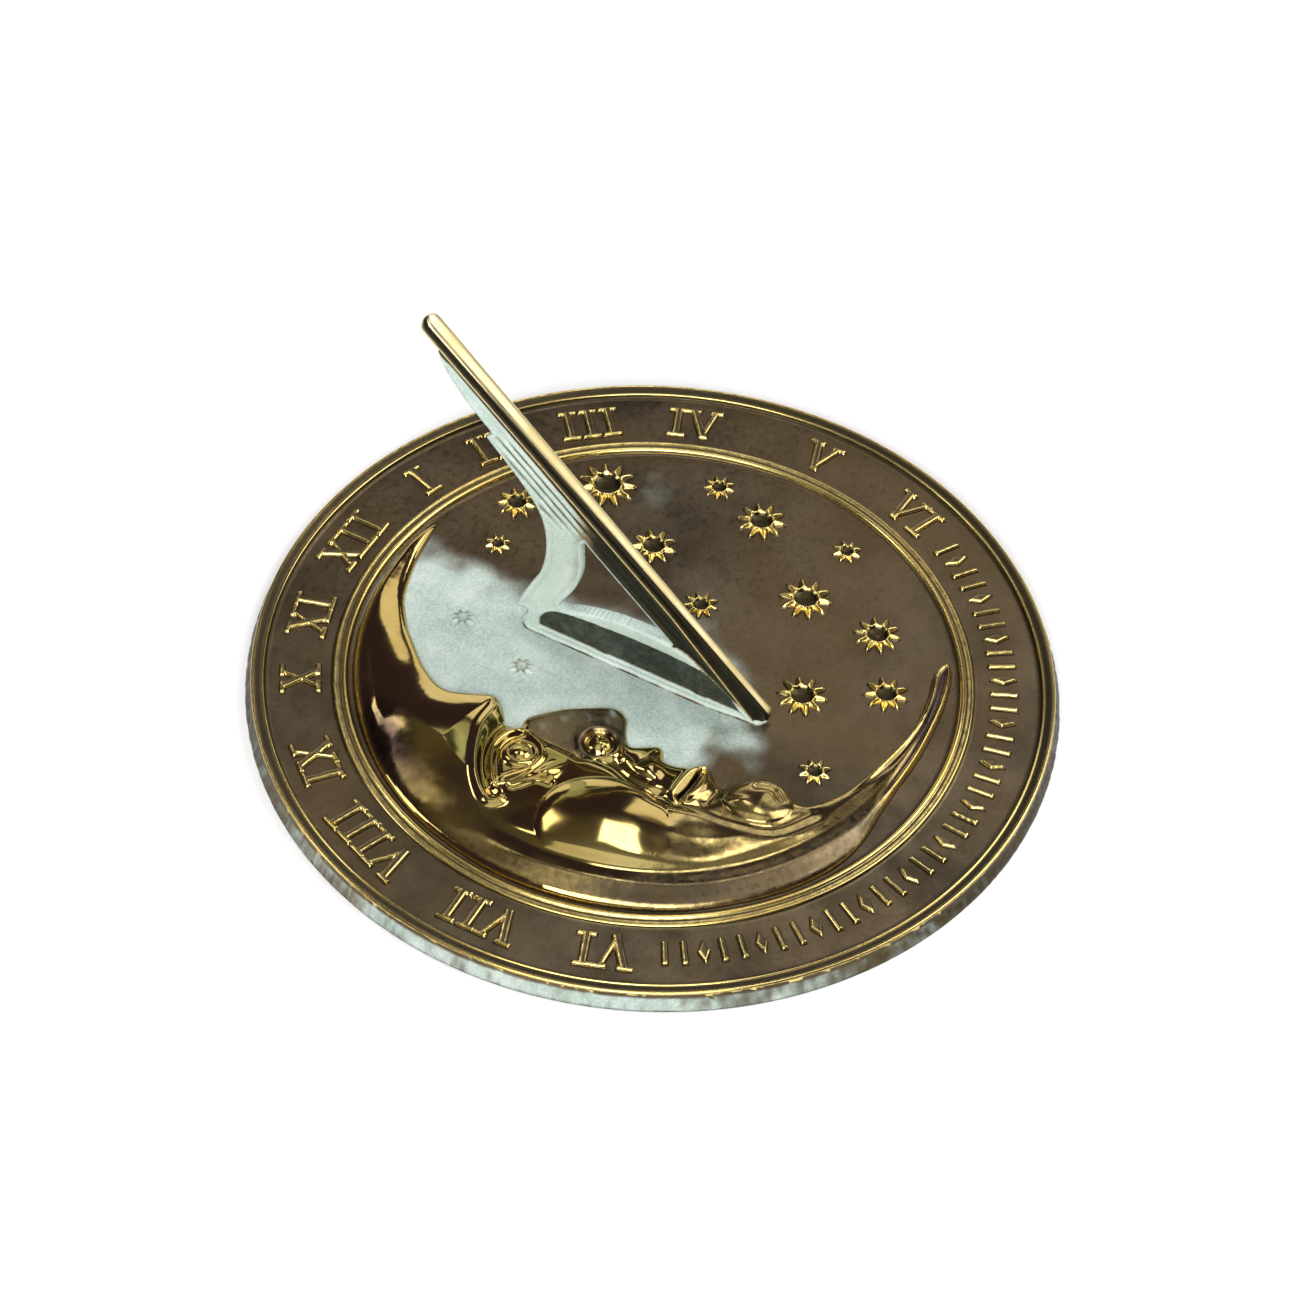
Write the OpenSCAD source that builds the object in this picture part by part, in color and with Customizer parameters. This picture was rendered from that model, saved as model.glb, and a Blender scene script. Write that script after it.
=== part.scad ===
// A horizontal garden sundial of cast brass: a round dial plate with raised hour numerals,
// a crescent moon with a face in profile and a field of stars, and a cast gnomon held by two
// screws from below. +Z is up, +Y is north (the XII) and +X is east. The origin is the middle
// of the circle the plate rests on.

/* [Dial plate] */
// Diameter of the dial plate at its foot
dial_d = 264; // [263:0.5:266]
// Height of the rim above the ground
rim_h = 7; // [6.8:0.1:7.4]
// Height of the sunken top surface, which the relief stands on
field_z = 5; // [5:0.1:5.2]
// Thickness of the plate under the sunken surface
floor_t = 2.4; // [2.2:0.1:2.4]
// Outer radius of the rim moulding
rim_r = 130; // [129.4:0.2:130.6]
// Width of the rim moulding
rim_w = 4.2; // [3.6:0.2:4.8]
// Outer radius of the moulding between the hour band and the field
ring_r = 103.6; // [103:0.2:104]
// Width of that moulding
ring_w = 4.6; // [4:0.2:5]
// Inner radius of the foot ring that the plate rests on
foot_r = 119; // [116:1:122]

/* [Relief] */
// Radius of the circle through the middles of the numerals
numeral_r = 114; // [113.5:0.5:115]
// Height of a numeral
numeral_h = 13.4; // [12:0.2:14]
// How far the numerals stand up
numeral_t = 1.3; // [0.8:0.1:1.6]
// How far the stars stand up
star_t = 1.5; // [1:0.1:2]
// How far the edge of the moon stands up
moon_edge_t = 2.2; // [1.5:0.1:3]
// How far the cheek of the moon stands up
moon_top_t = 6; // [5:0.5:7]

/* [Gnomon] */
// Slope of the style, the edge that casts the shadow
style_angle = 42; // [40:0.5:44]
// Length of the style bar
style_len = 169.5; // [164:0.5:170]
// Width of the style bar at its toe
toe_w = 4; // [3.6:0.2:4.4]
// Width of the style bar at its tip
tip_w = 6.2; // [5.8:0.2:6.8]
// Depth of the style bar at its toe
toe_depth = 7.6; // [7:0.2:8.4]
// Depth of the style bar along the rest of its length
bar_depth = 4.4; // [4:0.2:5]
// Thickness of the web and the strut
web_t = 3.4; // [3:0.2:3.8]
// Thickness of the base wall
base_t = 4.8; // [4.6:0.1:5.2]
// How far the lip round the foot of the base wall stands out
foot_lip_w = 1.6; // [1.2:0.1:2]
// Height of that lip
foot_lip_h = 1; // [0.8:0.1:1.3]

/* [Fasteners] */
// Distance of each gnomon screw from the middle of the plate
screw_y = 18; // [17:0.5:19]
// Outer radius of the screw thread
screw_r = 1.5; // [1.4:0.05:1.6]
// Wall radius of the tapped hole for a pedestal stud
stud_hole_r = 2.1; // [2:0.1:2.5]
// Depth of that tapped hole
stud_hole_len = 3.6; // [3:0.1:3.8]

/* [Hidden] */
$fn = 96;

dial_r = dial_d / 2;
ceiling_z = field_z - floor_t;

// Hour angles clockwise from XII, from one o'clock to six; the morning hours mirror them.
hour_angle = [18, 32, 50, 68, 91, 111];
afternoon = ["I", "II", "III", "IV", "V", "VI"];
morning = ["XI", "X", "IX", "VIII", "VII", "VI"];

// Each star: x, y, outer radius, number of rays.
stars = [
    [-11.5, 65, 4.5, 8], [-20, 38, 4.5, 8], [23, 72, 5, 8], [42.5, 76, 7.5, 9],
    [65, 54, 11, 11], [48.5, 27, 8.5, 9], [83.5, 21, 6, 9], [77, 1.5, 9, 10],
    [33.5, 1, 6.5, 9], [53.5, -27.5, 9.5, 10], [79.5, -29.5, 5.5, 8], [15.5, -46, 9, 10],
    [51.5, -55, 8.5, 10], [30, -69, 8, 9], [-10.5, -64, 6, 8]
];

// The moon's outline, anticlockwise from its upper tip: forehead, brow, nose, lips, chin,
// lower tip, then back round the outside.
moon_points = [
    [20.5, 94], [12, 92.5], [3, 91], [-12, 86.5], [-22.5, 79.5], [-28.5, 73.5], [-35.5, 65.5],
    [-40, 57.5], [-40.5, 52], [-37.5, 45], [-35, 39.5], [-37, 35.5], [-41, 32], [-43.5, 28.5],
    [-42, 25.5], [-37.5, 25.5], [-29, 18], [-24, 11], [-20.5, 5], [-20, 1], [-22, -2.5],
    [-27, -5], [-31, -8.5], [-29.5, -12], [-27, -16], [-27.5, -18.5], [-31, -21], [-31, -25],
    [-29, -29.5], [-26.5, -33], [-28, -36.5], [-31, -40], [-30.5, -43], [-26, -47],
    [-22, -51.5], [-21, -56], [-22.5, -61], [-25, -65], [-23, -70], [-12, -76.5], [2, -80.5],
    [20, -83], [34, -81.5], [46, -78.5], [51.5, -80.5], [48, -84], [34, -88], [12, -90.5],
    [-10, -90], [-32, -90], [-50, -83.5], [-67, -70.5], [-82, -52.5], [-92.5, -30], [-97, -8],
    [-96.5, 13], [-90.5, 36.5], [-79, 57], [-62, 75], [-42, 88], [-20, 95.5], [0, 97.2],
    [13, 96.5]
];

// Border ornament under the hour band: the arc it fills and the number of bars in it.
border_from = 120.5;
border_to = 239.5;
border_bars = 40;

// Style bar: where its top edge starts on the side plane. The gnomon's heights are all taken
// from the top surface it stands on.
toe_y = -42.2;
toe_z = 5.6;
// Distance along the bar where the deep toe has tapered away
toe_taper = 45;
// How far the toe's foot stands out past its top edge, measured along the bar
toe_kick = 1.6;
// How far the lip at the foot of the bar stands out, and its height
lip_out = 0.35;
lip_h = 0.9;

// Round ends of the foot lip: place along the gnomon, share of the lip's full radius
foot_lip_ends = [[-38, 0.6], [-20, 0.97], [44, 1]];

// Fasteners
spot_r = 4;
spot_depth = 0.5;
seat_z = ceiling_z + spot_depth;
washer_r = 3.5;
washer_t = 0.5;
spring_r = 3.1;
spring_t = 0.8;
spring_gap = 0.7;
head_r = 2.75;
head_t = 1.5;
slot_w = 0.8;
slot_depth = 0.6;
tapped_len = 9;
boss_r = 9;
boss_z = 0.5;
blind_gap = 0.5; // clear thread above the screw's end

// A smooth closed curve through points: Catmull-Rom, n pieces between neighbours.
function blend4(a, b, c, d, t) =
    0.5 * (2 * b + (c - a) * t + (2 * a - 5 * b + 4 * c - d) * t * t
           + (3 * b - a - 3 * c + d) * t * t * t);
function closed_curve(p, n) = [
    for (i = [0 : len(p) - 1], j = [0 : n - 1])
        let (m = len(p))
        blend4(p[(i + m - 1) % m], p[i], p[(i + 1) % m], p[(i + 2) % m], j / n)
];
function open_curve(p, n) = [
    for (i = [0 : len(p) - 2], j = [0 : n - 1])
        let (last = len(p) - 1)
        blend4(p[max(i - 1, 0)], p[i], p[i + 1], p[min(i + 2, last)], j / n)
];
function star_outline(r, rays) = [
    for (i = [0 : 2 * rays - 1])
        let (a = 180 * i / rays, q = i % 2 == 0 ? r : 0.55 * r)
        [q * cos(a), q * sin(a)]
];

// Lays a shape drawn as (north, up) on the side plane and gives it a thickness across.
module side_plate(t) {
    rotate([90, 0, 90])
        linear_extrude(height = t, center = true) children();
}

// The frame of the style bar: +Y along it, +Z square off its top, the origin at its toe.
module along_style() {
    translate([0, toe_y, toe_z]) rotate([style_angle, 0, 0]) children();
}

// One serifed letter of a numeral, upright, its middle at the origin.
serif_t = 1.7;
module bar_stroke(x0, x1, w) {
    polygon([
        [x0 - w / 2, -numeral_h / 2], [x0 + w / 2, -numeral_h / 2],
        [x1 + w / 2, numeral_h / 2], [x1 - w / 2, numeral_h / 2]
    ]);
}
module serif(x, side, w) {
    translate([x - w / 2, side > 0 ? numeral_h / 2 - serif_t : -numeral_h / 2])
        square([w, serif_t]);
}
module letter(c) {
    if (c == "I") {
        bar_stroke(0, 0, 2.6);
        serif(0, 1, 6.4);
        serif(0, -1, 6.4);
    }
    if (c == "V") {
        bar_stroke(0.4, -4, 2.8);
        bar_stroke(-0.4, 4, 1.8);
        serif(-4, 1, 5.4);
        serif(4, 1, 4.6);
    }
    if (c == "X") {
        bar_stroke(3.6, -3.6, 2.8);
        bar_stroke(-3.6, 3.6, 1.8);
        for (side = [-1, 1]) {
            serif(-3.6, side, 5);
            serif(3.6, side, 5);
        }
    }
}
function letter_w(c) = c == "I" ? 7 : 11.4;
function width_before(s, i) = i <= 0 ? 0 : letter_w(s[i - 1]) + width_before(s, i - 1);

// A numeral at an angle clockwise from north, its head outward.
module numeral(s, angle) {
    total = width_before(s, len(s));
    rotate(-angle) translate([0, numeral_r])
        for (i = [0 : len(s) - 1])
            translate([width_before(s, i) + letter_w(s[i]) / 2 - total / 2, 0]) letter(s[i]);
}

module hour_numerals() {
    linear_extrude(height = field_z + numeral_t) {
        numeral("XII", 0);
        for (i = [0 : 5]) {
            numeral(afternoon[i], hour_angle[i]);
            numeral(morning[i], -hour_angle[i]);
        }
    }
}

// A plain border of bars, every third one a lozenge.
module border_ornament() {
    linear_extrude(height = field_z + numeral_t)
        for (i = [0 : border_bars - 1])
            rotate(-(border_from + (border_to - border_from) * i / (border_bars - 1)))
                translate([0, numeral_r - 0.6])
                    if (i % 3 == 1) {
                        polygon([[0, -4.4], [2, 0], [0, 4.4], [-2, 0]]);
                    } else {
                        square([1.9, 9], center = true);
                    }
}

module star_field() {
    for (s = stars)
        translate([s[0], s[1], field_z - 0.5])
            difference() {
                linear_extrude(height = star_t + 0.5) polygon(star_outline(s[2], s[3]));
                translate([0, 0, 0.9]) cylinder(h = star_t + 1, r = 0.38 * s[2]);
            }
}

// A shallow dome: the part of a sphere of radius r above z, its top at z + t.
module dome(x, y, z, t, r) {
    translate([x, y, z + t - r]) sphere(r = r);
}

module moon_relief() {
    edge_z = field_z + moon_edge_t;
    rise = moon_top_t - moon_edge_t;
    difference() {
        union() {
            linear_extrude(height = edge_z) polygon(closed_curve(moon_points, 3));
            intersection() {
                linear_extrude(height = field_z + moon_top_t + 2)
                    polygon(closed_curve(moon_points, 3));
                union() {
                    // The crown of the crescent, a ring of large tube radius sunk in the plate
                    rotate_extrude()
                        translate([77, edge_z + 0.65 * rise - 40]) circle(r = 40);
                    dome(-66, -20, edge_z, rise, 60);
                    dome(-60, 50, edge_z, 0.9 * rise, 70);
                    dome(-38, -58, edge_z, 0.6 * rise, 40);
                    dome(-34, 3, edge_z, 0.5 * rise, 40);
                }
            }
            // Eye: lid ring and eyeball; nostril ring
            translate([-55, 18, edge_z + 0.9])
                rotate_extrude() translate([5.6, 0]) circle(r = 1.1, $fn = 24);
            translate([-55, 18, edge_z + 0.8]) sphere(r = 3, $fn = 48);
            translate([-37, -0.7, edge_z + 0.8])
                rotate_extrude() translate([3, 0]) circle(r = 1.1, $fn = 24);
            // Lips
            for (y = [-30.6, -35.8])
                translate([-42.5, y, edge_z - 0.3])
                    rotate([0, 90, 0]) cylinder(h = 13, r = 1.5, $fn = 32);
        }
        // The line of the mouth
        translate([-43.6, -33.9, edge_z - 0.6]) cube([30, 1, 10]);
    }
}

// Rim, hour band, ring moulding, field, and the underside with its foot ring and central boss.
module dial_plate() {
    crown = 1.2; // rise of the rim's crown
    rim_in = rim_r - rim_w;
    ring_in = ring_r - ring_w;
    color("darkgoldenrod")
        difference() {
            union() {
                rotate_extrude()
                    polygon(concat(
                        // The underside, the foot ring and the flared side wall
                        [[0, ceiling_z], [foot_r - 1, ceiling_z], [foot_r, 0], [dial_r - 0.4, 0],
                         [dial_r, 0.4], [dial_r - 0.2, 1.6], [rim_r + 0.5, 4.2]],
                        // The crowned rim
                        [for (a = [0 : 15 : 180])
                            [rim_r - rim_w / 2 + rim_w / 2 * cos(a), rim_h - crown + crown * sin(a)]],
                        [[rim_in, field_z], [ring_r, field_z]],
                        // The half-round ring moulding
                        [for (a = [15 : 15 : 165])
                            [ring_r - ring_w / 2 + ring_w / 2 * cos(a), field_z + 1.6 * sin(a)]],
                        [[ring_in, field_z], [0, field_z]]
                    ));
                intersection() {
                    union() {
                        hour_numerals();
                        border_ornament();
                        moon_relief();
                    }
                    translate([0, 0, field_z - 0.5]) cylinder(h = 20, r = dial_r);
                }
                star_field();
                translate([0, 0, boss_z]) cylinder(h = ceiling_z - boss_z + 0.5, r = boss_r);
            }
            // Tapped hole for a pedestal stud
            translate([0, 0, boss_z - 1]) cylinder(h = stud_hole_len + 1, r = stud_hole_r);
            // Clearance holes and spot faces for the gnomon screws
            for (y = [-screw_y, screw_y]) {
                translate([0, y, ceiling_z - 1]) cylinder(h = 30, r = screw_r + 0.2);
                translate([0, y, ceiling_z - 1]) cylinder(h = spot_depth + 1, r = spot_r);
            }
        }
}

// The style bar: a long wedge, deep at the toe and wide at the tip, with a round tip.
module style_bar() {
    tip_r = tip_w / 2;
    along_style() intersection() {
        translate([0, 0, -toe_depth - 1])
            linear_extrude(height = toe_depth + 1)
                polygon(concat(
                    [[-toe_w / 2, -toe_kick], [toe_w / 2, -toe_kick]],
                    [for (a = [0 : 15 : 180])
                        [tip_r * cos(a), style_len - tip_r + tip_r * sin(a)]]
                ));
        side_plate(20)
            polygon([
                [0, 0], [style_len, 0], [style_len, -bar_depth], [toe_taper, -bar_depth],
                [0, -toe_depth], [-toe_kick, 1.4 - toe_depth]
            ]);
    }
    // The lip along the foot of the bar
    along_style() intersection() {
        translate([0, 0, -toe_depth - 1])
            linear_extrude(height = toe_depth)
                polygon([
                    [-toe_w / 2 - lip_out, 2], [toe_w / 2 + lip_out, 2],
                    [tip_r + lip_out, style_len - tip_r], [-tip_r - lip_out, style_len - tip_r]
                ]);
        side_plate(20)
            polygon([
                [2, -toe_depth], [toe_taper, -bar_depth], [style_len - tip_r, -bar_depth],
                [style_len - tip_r, lip_h - bar_depth], [toe_taper, lip_h - bar_depth],
                [2, lip_h - toe_depth]
            ]);
    }
}

// The web under the bar and the curved strut with its leaf-shaped finial, as one side outline
// that the triangular window is cut from.
module web_and_strut() {
    bar_foot = bar_depth / cos(style_angle);
    slope = tan(style_angle);
    under_bar = function (y) toe_z + slope * (y - toe_y) - bar_foot + 1;
    strut_out = [[51, 6], [46.5, 17], [42, 27], [40.3, 38.5], [42, 51], [48.8, 62.2], [62.9, 77.6]];
    strut_in = [[34.8, 14], [30, 24], [27.4, 34], [27.8, 46]];
    difference() {
        side_plate(web_t)
            polygon(concat(
                [[-36, 1], [45, 1], [47, 6]],
                open_curve(strut_out, 6),
                [[62.9, 77.6], [60.5, 80], [64.3, 83.6], [70.8, 90.3], [77.3, 99]],
                [[83.5, under_bar(83.5)], [-33, under_bar(-33) - 4]]
            ));
        side_plate(web_t + 2)
            polygon(concat(
                open_curve(concat([[-6, 19.5], [4, 19.8], [14, 19], [25, 16.5]], strut_in), 4),
                [[27.8, 46], [26.6, 48.6]]
            ));
    }
}

// The base wall, with a sunken panel on each side, two posts of full thickness for the screws
// and a lip round its foot.
module base_wall() {
    panel_depth = 0.8;
    floor_line = 1.5;
    top = [[-12, 17.5], [-4, 19], [4, 19.6], [14, 19], [24, 16.6], [34, 12.4], [42, 8.2], [47, 4]];
    panel_top = [[-25, 11.6], [-18, 13.6], [-8, 14.6], [4, 14.8], [18, 14.2], [32, 12.6], [39, 9.6], [42, 5]];
    difference() {
        side_plate(base_t)
            polygon(concat([[-38.5, 0]], open_curve(top, 4), [[48, 2], [46.5, 0]]));
        for (side = [-1, 1])
            translate([side * base_t / 2, 0, 0]) difference() {
                side_plate(2 * panel_depth)
                    polygon(concat([[-33, floor_line]], open_curve(panel_top, 4), [[42, floor_line]]));
                for (y = [-screw_y, screw_y])
                    translate([0, y, -1]) cylinder(h = 40, r = base_t / 2);
            }
    }
    for (y = [-screw_y, screw_y])
        translate([0, y, 0]) cylinder(h = tapped_len + 1.5, r = base_t / 2);
    hull()
        for (e = foot_lip_ends)
            translate([0, e[0], 0])
                cylinder(h = foot_lip_h, r = e[1] * (base_t / 2 + foot_lip_w));
}

module gnomon() {
    color("goldenrod")
        translate([0, 0, field_z]) difference() {
            union() {
                style_bar();
                web_and_strut();
                base_wall();
            }
            for (y = [-screw_y, screw_y])
                translate([0, y, -1]) cylinder(h = tapped_len + 1, r = screw_r);
        }
}

// Both screws: slotted pan heads under the plate, shanks up into the gnomon.
module gnomon_screws() {
    head_top = seat_z - washer_t - spring_t;
    shank_top = field_z + tapped_len - blind_gap;
    color("silver")
        for (y = [-screw_y, screw_y])
            translate([0, y, 0]) difference() {
                union() {
                    translate([0, 0, head_top - head_t]) cylinder(h = head_t, r = head_r);
                    translate([0, 0, head_top - 0.5]) cylinder(h = shank_top - head_top + 0.5, r = screw_r);
                }
                translate([-head_r - 1, -slot_w / 2, head_top - head_t - 1])
                    cube([2 * head_r + 2, slot_w, slot_depth + 1]);
            }
}

module spring_washers() {
    color("silver")
        for (y = [-screw_y, screw_y])
            translate([0, y, seat_z - washer_t - spring_t]) difference() {
                cylinder(h = spring_t, r = spring_r);
                translate([0, 0, -1]) cylinder(h = spring_t + 2, r = screw_r + 0.1);
                translate([0, -spring_gap / 2, -1]) cube([spring_r + 1, spring_gap, spring_t + 2]);
            }
}

module flat_washers() {
    color("silver")
        for (y = [-screw_y, screw_y])
            translate([0, y, seat_z - washer_t]) difference() {
                cylinder(h = washer_t, r = washer_r);
                translate([0, 0, -1]) cylinder(h = washer_t + 2, r = screw_r + 0.1);
            }
}

dial_plate();
gnomon();
gnomon_screws();
spring_washers();
flat_washers();
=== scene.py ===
from math import cos, pi, radians, sin, sqrt, tan

import bmesh
import bpy
import numpy as np
from mathutils import Matrix, Vector


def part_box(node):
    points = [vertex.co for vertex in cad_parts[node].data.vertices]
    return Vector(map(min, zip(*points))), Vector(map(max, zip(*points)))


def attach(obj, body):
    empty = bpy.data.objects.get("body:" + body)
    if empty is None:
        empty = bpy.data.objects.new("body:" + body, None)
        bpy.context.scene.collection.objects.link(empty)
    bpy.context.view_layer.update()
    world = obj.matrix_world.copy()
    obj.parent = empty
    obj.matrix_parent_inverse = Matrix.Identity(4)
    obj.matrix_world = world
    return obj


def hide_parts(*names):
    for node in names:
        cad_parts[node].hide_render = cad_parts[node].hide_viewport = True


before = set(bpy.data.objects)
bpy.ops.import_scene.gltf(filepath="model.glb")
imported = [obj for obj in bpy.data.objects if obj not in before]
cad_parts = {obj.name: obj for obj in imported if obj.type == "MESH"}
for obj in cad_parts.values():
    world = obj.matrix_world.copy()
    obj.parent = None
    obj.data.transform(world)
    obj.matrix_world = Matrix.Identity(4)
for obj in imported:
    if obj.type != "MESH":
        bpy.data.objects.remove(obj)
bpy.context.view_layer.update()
MM = 0.001

# ---- driving sizes, millimetres
FOOT_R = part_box("dial_plate")[1].x / MM - 0.05  # clear of the facets of the CAD's own box
FIELD_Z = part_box("gnomon")[0].z / MM  # the sunken surface, which the gnomon stands on
RIM_R = FOOT_R - 1.95
RIM_Z = FIELD_Z + 2.0
RIM_IN_R = RIM_R - 4.2
RING_R = 103.6
RING_IN_R = RING_R - 4.6
CEILING_Z = FIELD_Z - 2.4
FOOT_IN_R = 119.0
BOSS_R = 9.0
BOSS_Z = 0.5
STUD_R = 2.1
STUD_TOP = BOSS_Z + 3.6
SCREW_Y = 18.0
SCREW_HOLE_R = 1.7
SCREW_SEAT_R = 4.0
NUMERAL_R = 114.0
NUMERAL_H = 13.4
NUMERAL_T = 1.3
SINK = 0.9  # how far the relief pieces reach down into the plate

# After noon, before noon, and their angle from the XII
HOURS = [("I", "XI", 18), ("II", "X", 32), ("III", "IX", 50), ("IV", "VIII", 68), ("V", "VII", 91),
         ("VI", "VI", 111)]

# x, y, outer radius, rays
STARS = [
    (-11.5, 65, 4.5, 8), (-20, 38, 4.5, 8), (23, 72, 5, 8), (42.5, 76, 7.5, 9),
    (65, 54, 11, 11), (48.5, 27, 8.5, 9), (83.5, 21, 6, 9), (77, 1.5, 9, 10),
    (33.5, 1, 6.5, 9), (53.5, -27.5, 9.5, 10), (79.5, -29.5, 5.5, 8), (15.5, -46, 9, 10),
    (51.5, -55, 8.5, 10), (30, -69, 8, 9), (-10.5, -64, 6, 8),
]

# The moon's outline, anticlockwise from its upper tip.
MOON = [
    (20.5, 94), (12, 92.5), (3, 91), (-12, 86.5), (-22.5, 79.5), (-28.5, 73.5), (-35.5, 65.5),
    (-40, 57.5), (-40.5, 52), (-37.5, 45), (-35, 39.5), (-37, 35.5), (-41, 32), (-43.5, 28.5),
    (-42, 25.5), (-37.5, 25.5), (-29, 18), (-24, 11), (-20.5, 5), (-20, 1), (-22, -2.5),
    (-27, -5), (-31, -8.5), (-29.5, -12), (-27, -16), (-27.5, -18.5), (-31, -21), (-31, -25),
    (-29, -29.5), (-26.5, -33), (-28, -36.5), (-31, -40), (-30.5, -43), (-26, -47),
    (-22, -51.5), (-21, -56), (-22.5, -61), (-25, -65), (-23, -70), (-12, -76.5), (2, -80.5),
    (20, -83), (34, -81.5), (46, -78.5), (51.5, -80.5), (48, -84), (34, -88), (12, -90.5),
    (-10, -90), (-32, -90), (-50, -83.5), (-67, -70.5), (-82, -52.5), (-92.5, -30), (-97, -8),
    (-96.5, 13), (-90.5, 36.5), (-79, 57), (-62, 75), (-42, 88), (-20, 95.5), (0, 97.2),
    (13, 96.5),
]

BORDER_FROM = 120.5
BORDER_TO = 239.5
BORDER_BARS = 40
BORDER_R = NUMERAL_R - 0.6

# Gnomon: side-plane points are (north, height above the field)
STYLE_ANGLE = radians(42)
STYLE_LEN = 169.5
TOE = (-42.2, 5.6)
TOE_W = 4.0
TIP_R = 3.1
TOE_DEPTH = 7.6
BAR_DEPTH = 4.4
TOE_TAPER = 45.0
WEB_T = 3.4
BASE_T = 4.8
FOOT_LIP_W = 1.6
FOOT_LIP_H = 1.0
FOOT_LIP_ENDS = [(-38, 0.6), (-20, 0.97), (44, 1.0)]  # place, share of the lip's full radius


# ---- plane geometry
def spline(points, pieces, closed):
    """A Catmull-Rom curve through points, with that many pieces between neighbours."""
    p = np.array(points, float)
    if closed:
        a, b, c, d = np.roll(p, 1, 0), p, np.roll(p, -1, 0), np.roll(p, -2, 0)
    else:
        ends = np.vstack([p[:1], p, p[-1:]])
        a, b, c, d = ends[:-3], ends[1:-2], ends[2:-1], ends[3:]
    t = np.arange(pieces)[None, :, None] / pieces
    a, b, c, d = (q[:, None, :] for q in (a, b, c, d))
    curve = 0.5 * (2 * b + (c - a) * t + (2 * a - 5 * b + 4 * c - d) * t**2
                   + (3 * b - a - 3 * c + d) * t**3)
    curve = curve.reshape(-1, 2)
    return curve if closed else np.vstack([curve, p[-1:]])


def path_distance(x, y, path):
    """Distance to an open path."""
    best = np.full(x.shape, np.inf)
    for (ax, ay), (bx, by) in zip(path[:-1], path[1:]):
        dx, dy = bx - ax, by - ay
        t = np.clip(((x - ax) * dx + (y - ay) * dy) / (dx * dx + dy * dy + 1e-12), 0, 1)
        best = np.minimum(best, (x - ax - t * dx) ** 2 + (y - ay - t * dy) ** 2)
    return np.sqrt(best)


def outline_distance(x, y, outline):
    """Distance to a closed outline: positive inside it, negative outside."""
    loop = np.vstack([outline, outline[:1]]).astype(float)
    inside = np.zeros(x.shape, bool)
    for (ax, ay), (bx, by) in zip(loop[:-1], loop[1:]):
        crosses = (ay > y) != (by > y)
        inside ^= crosses & (x < ax + (y - ay) * (bx - ax) / ((by - ay) or 1e-12))
    d = path_distance(x, y, loop)
    return np.where(inside, d, -d)


def band(value, middle, width):
    """1 where a value is at the middle of a band, fading smoothly to 0 on both sides."""
    return np.exp(-(((value - middle) / width) ** 2))


def ridge(x, y, points, width, height):
    """A rounded ridge, or a groove where height is negative, along a smooth path."""
    return height * band(path_distance(x, y, spline(points, 5, False)), 0, width)


def ellipse(x, y, centre, radii, turn):
    """0 in the middle of an ellipse turned by that many degrees, 1 on its outline, and on."""
    c, s = cos(radians(turn)), sin(radians(turn))
    u = ((x - centre[0]) * c + (y - centre[1]) * s) / radii[0]
    v = (-(x - centre[0]) * s + (y - centre[1]) * c) / radii[1]
    return u * u + v * v


def bump(x, y, centre, radii, turn, height):
    """A rounded swelling on an ellipse."""
    return height * np.exp(-ellipse(x, y, centre, radii, turn))


def dome(x, y, centre, radii, turn, height):
    """A round cap with a firm edge on an ellipse."""
    return height * np.sqrt(np.clip(1 - ellipse(x, y, centre, radii, turn), 0, 1))


def step(value, low, high):
    """0 below low, 1 above high, smooth between them."""
    t = np.clip((value - low) / (high - low), 0, 1)
    return t * t * (3 - 2 * t)


def unevenness(x, y, size, seed):
    """A slow, seeded ripple between about -1 and 1, as a cast surface has."""
    rng = np.random.default_rng(seed)
    total = 0.0
    for _ in range(7):
        angle, phase = rng.uniform(0, 2 * pi, 2)
        wave = size * rng.uniform(0.6, 1.8)
        across = x * cos(angle) + y * sin(angle)
        total = total + np.sin(across * 2 * pi / wave + phase)
    return total / 4.0


# ---- meshes
def set_masks(mesh, masks):
    """Stores {attribute name: one value per vertex} on a mesh, for its material to read."""
    for key, values in masks.items():
        layer = mesh.attributes.get(key) or mesh.attributes.new(key, "FLOAT", "POINT")
        layer.data.foreach_set("value", np.asarray(values, np.float32))


# A label, and the CAD node that the pieces stand in for
PLATE = ("brass_plate", "dial_plate")
GNOMON = ("brass_gnomon", "gnomon")


def make_piece(name, verts, faces, part, masks):
    """A closed mesh piece in the row frame, which stands in for one CAD node."""
    slot, node = part
    mesh = bpy.data.meshes.new(name)
    mesh.from_pydata([tuple(v) for v in np.asarray(verts, float) * MM], [], faces)
    set_masks(mesh, masks)
    bm = bmesh.new()
    bm.from_mesh(mesh)
    bmesh.ops.holes_fill(bm, edges=[e for e in bm.edges if e.is_boundary], sides=0)
    bmesh.ops.recalc_face_normals(bm, faces=bm.faces)
    bm.to_mesh(mesh)
    bm.free()
    mesh.polygons.foreach_set("use_smooth", [True] * len(mesh.polygons))
    piece = bpy.data.objects.new(name, mesh)
    bpy.context.collection.objects.link(piece)
    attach(piece, "root")
    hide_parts(node)
    return piece


def grid_cells(keep):
    """Faces and vertex numbers of the grid cells whose four corners are kept."""
    cells = keep[:-1, :-1] & keep[1:, :-1] & keep[:-1, 1:] & keep[1:, 1:]
    used = np.zeros(keep.shape, bool)
    used[:-1, :-1] |= cells
    used[1:, :-1] |= cells
    used[:-1, 1:] |= cells
    used[1:, 1:] |= cells
    number = np.full(keep.shape, -1)
    number[used] = np.arange(used.sum())
    r, c = np.nonzero(cells)
    faces = np.stack([number[r, c], number[r, c + 1], number[r + 1, c + 1], number[r + 1, c]], 1)
    return used, faces


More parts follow.
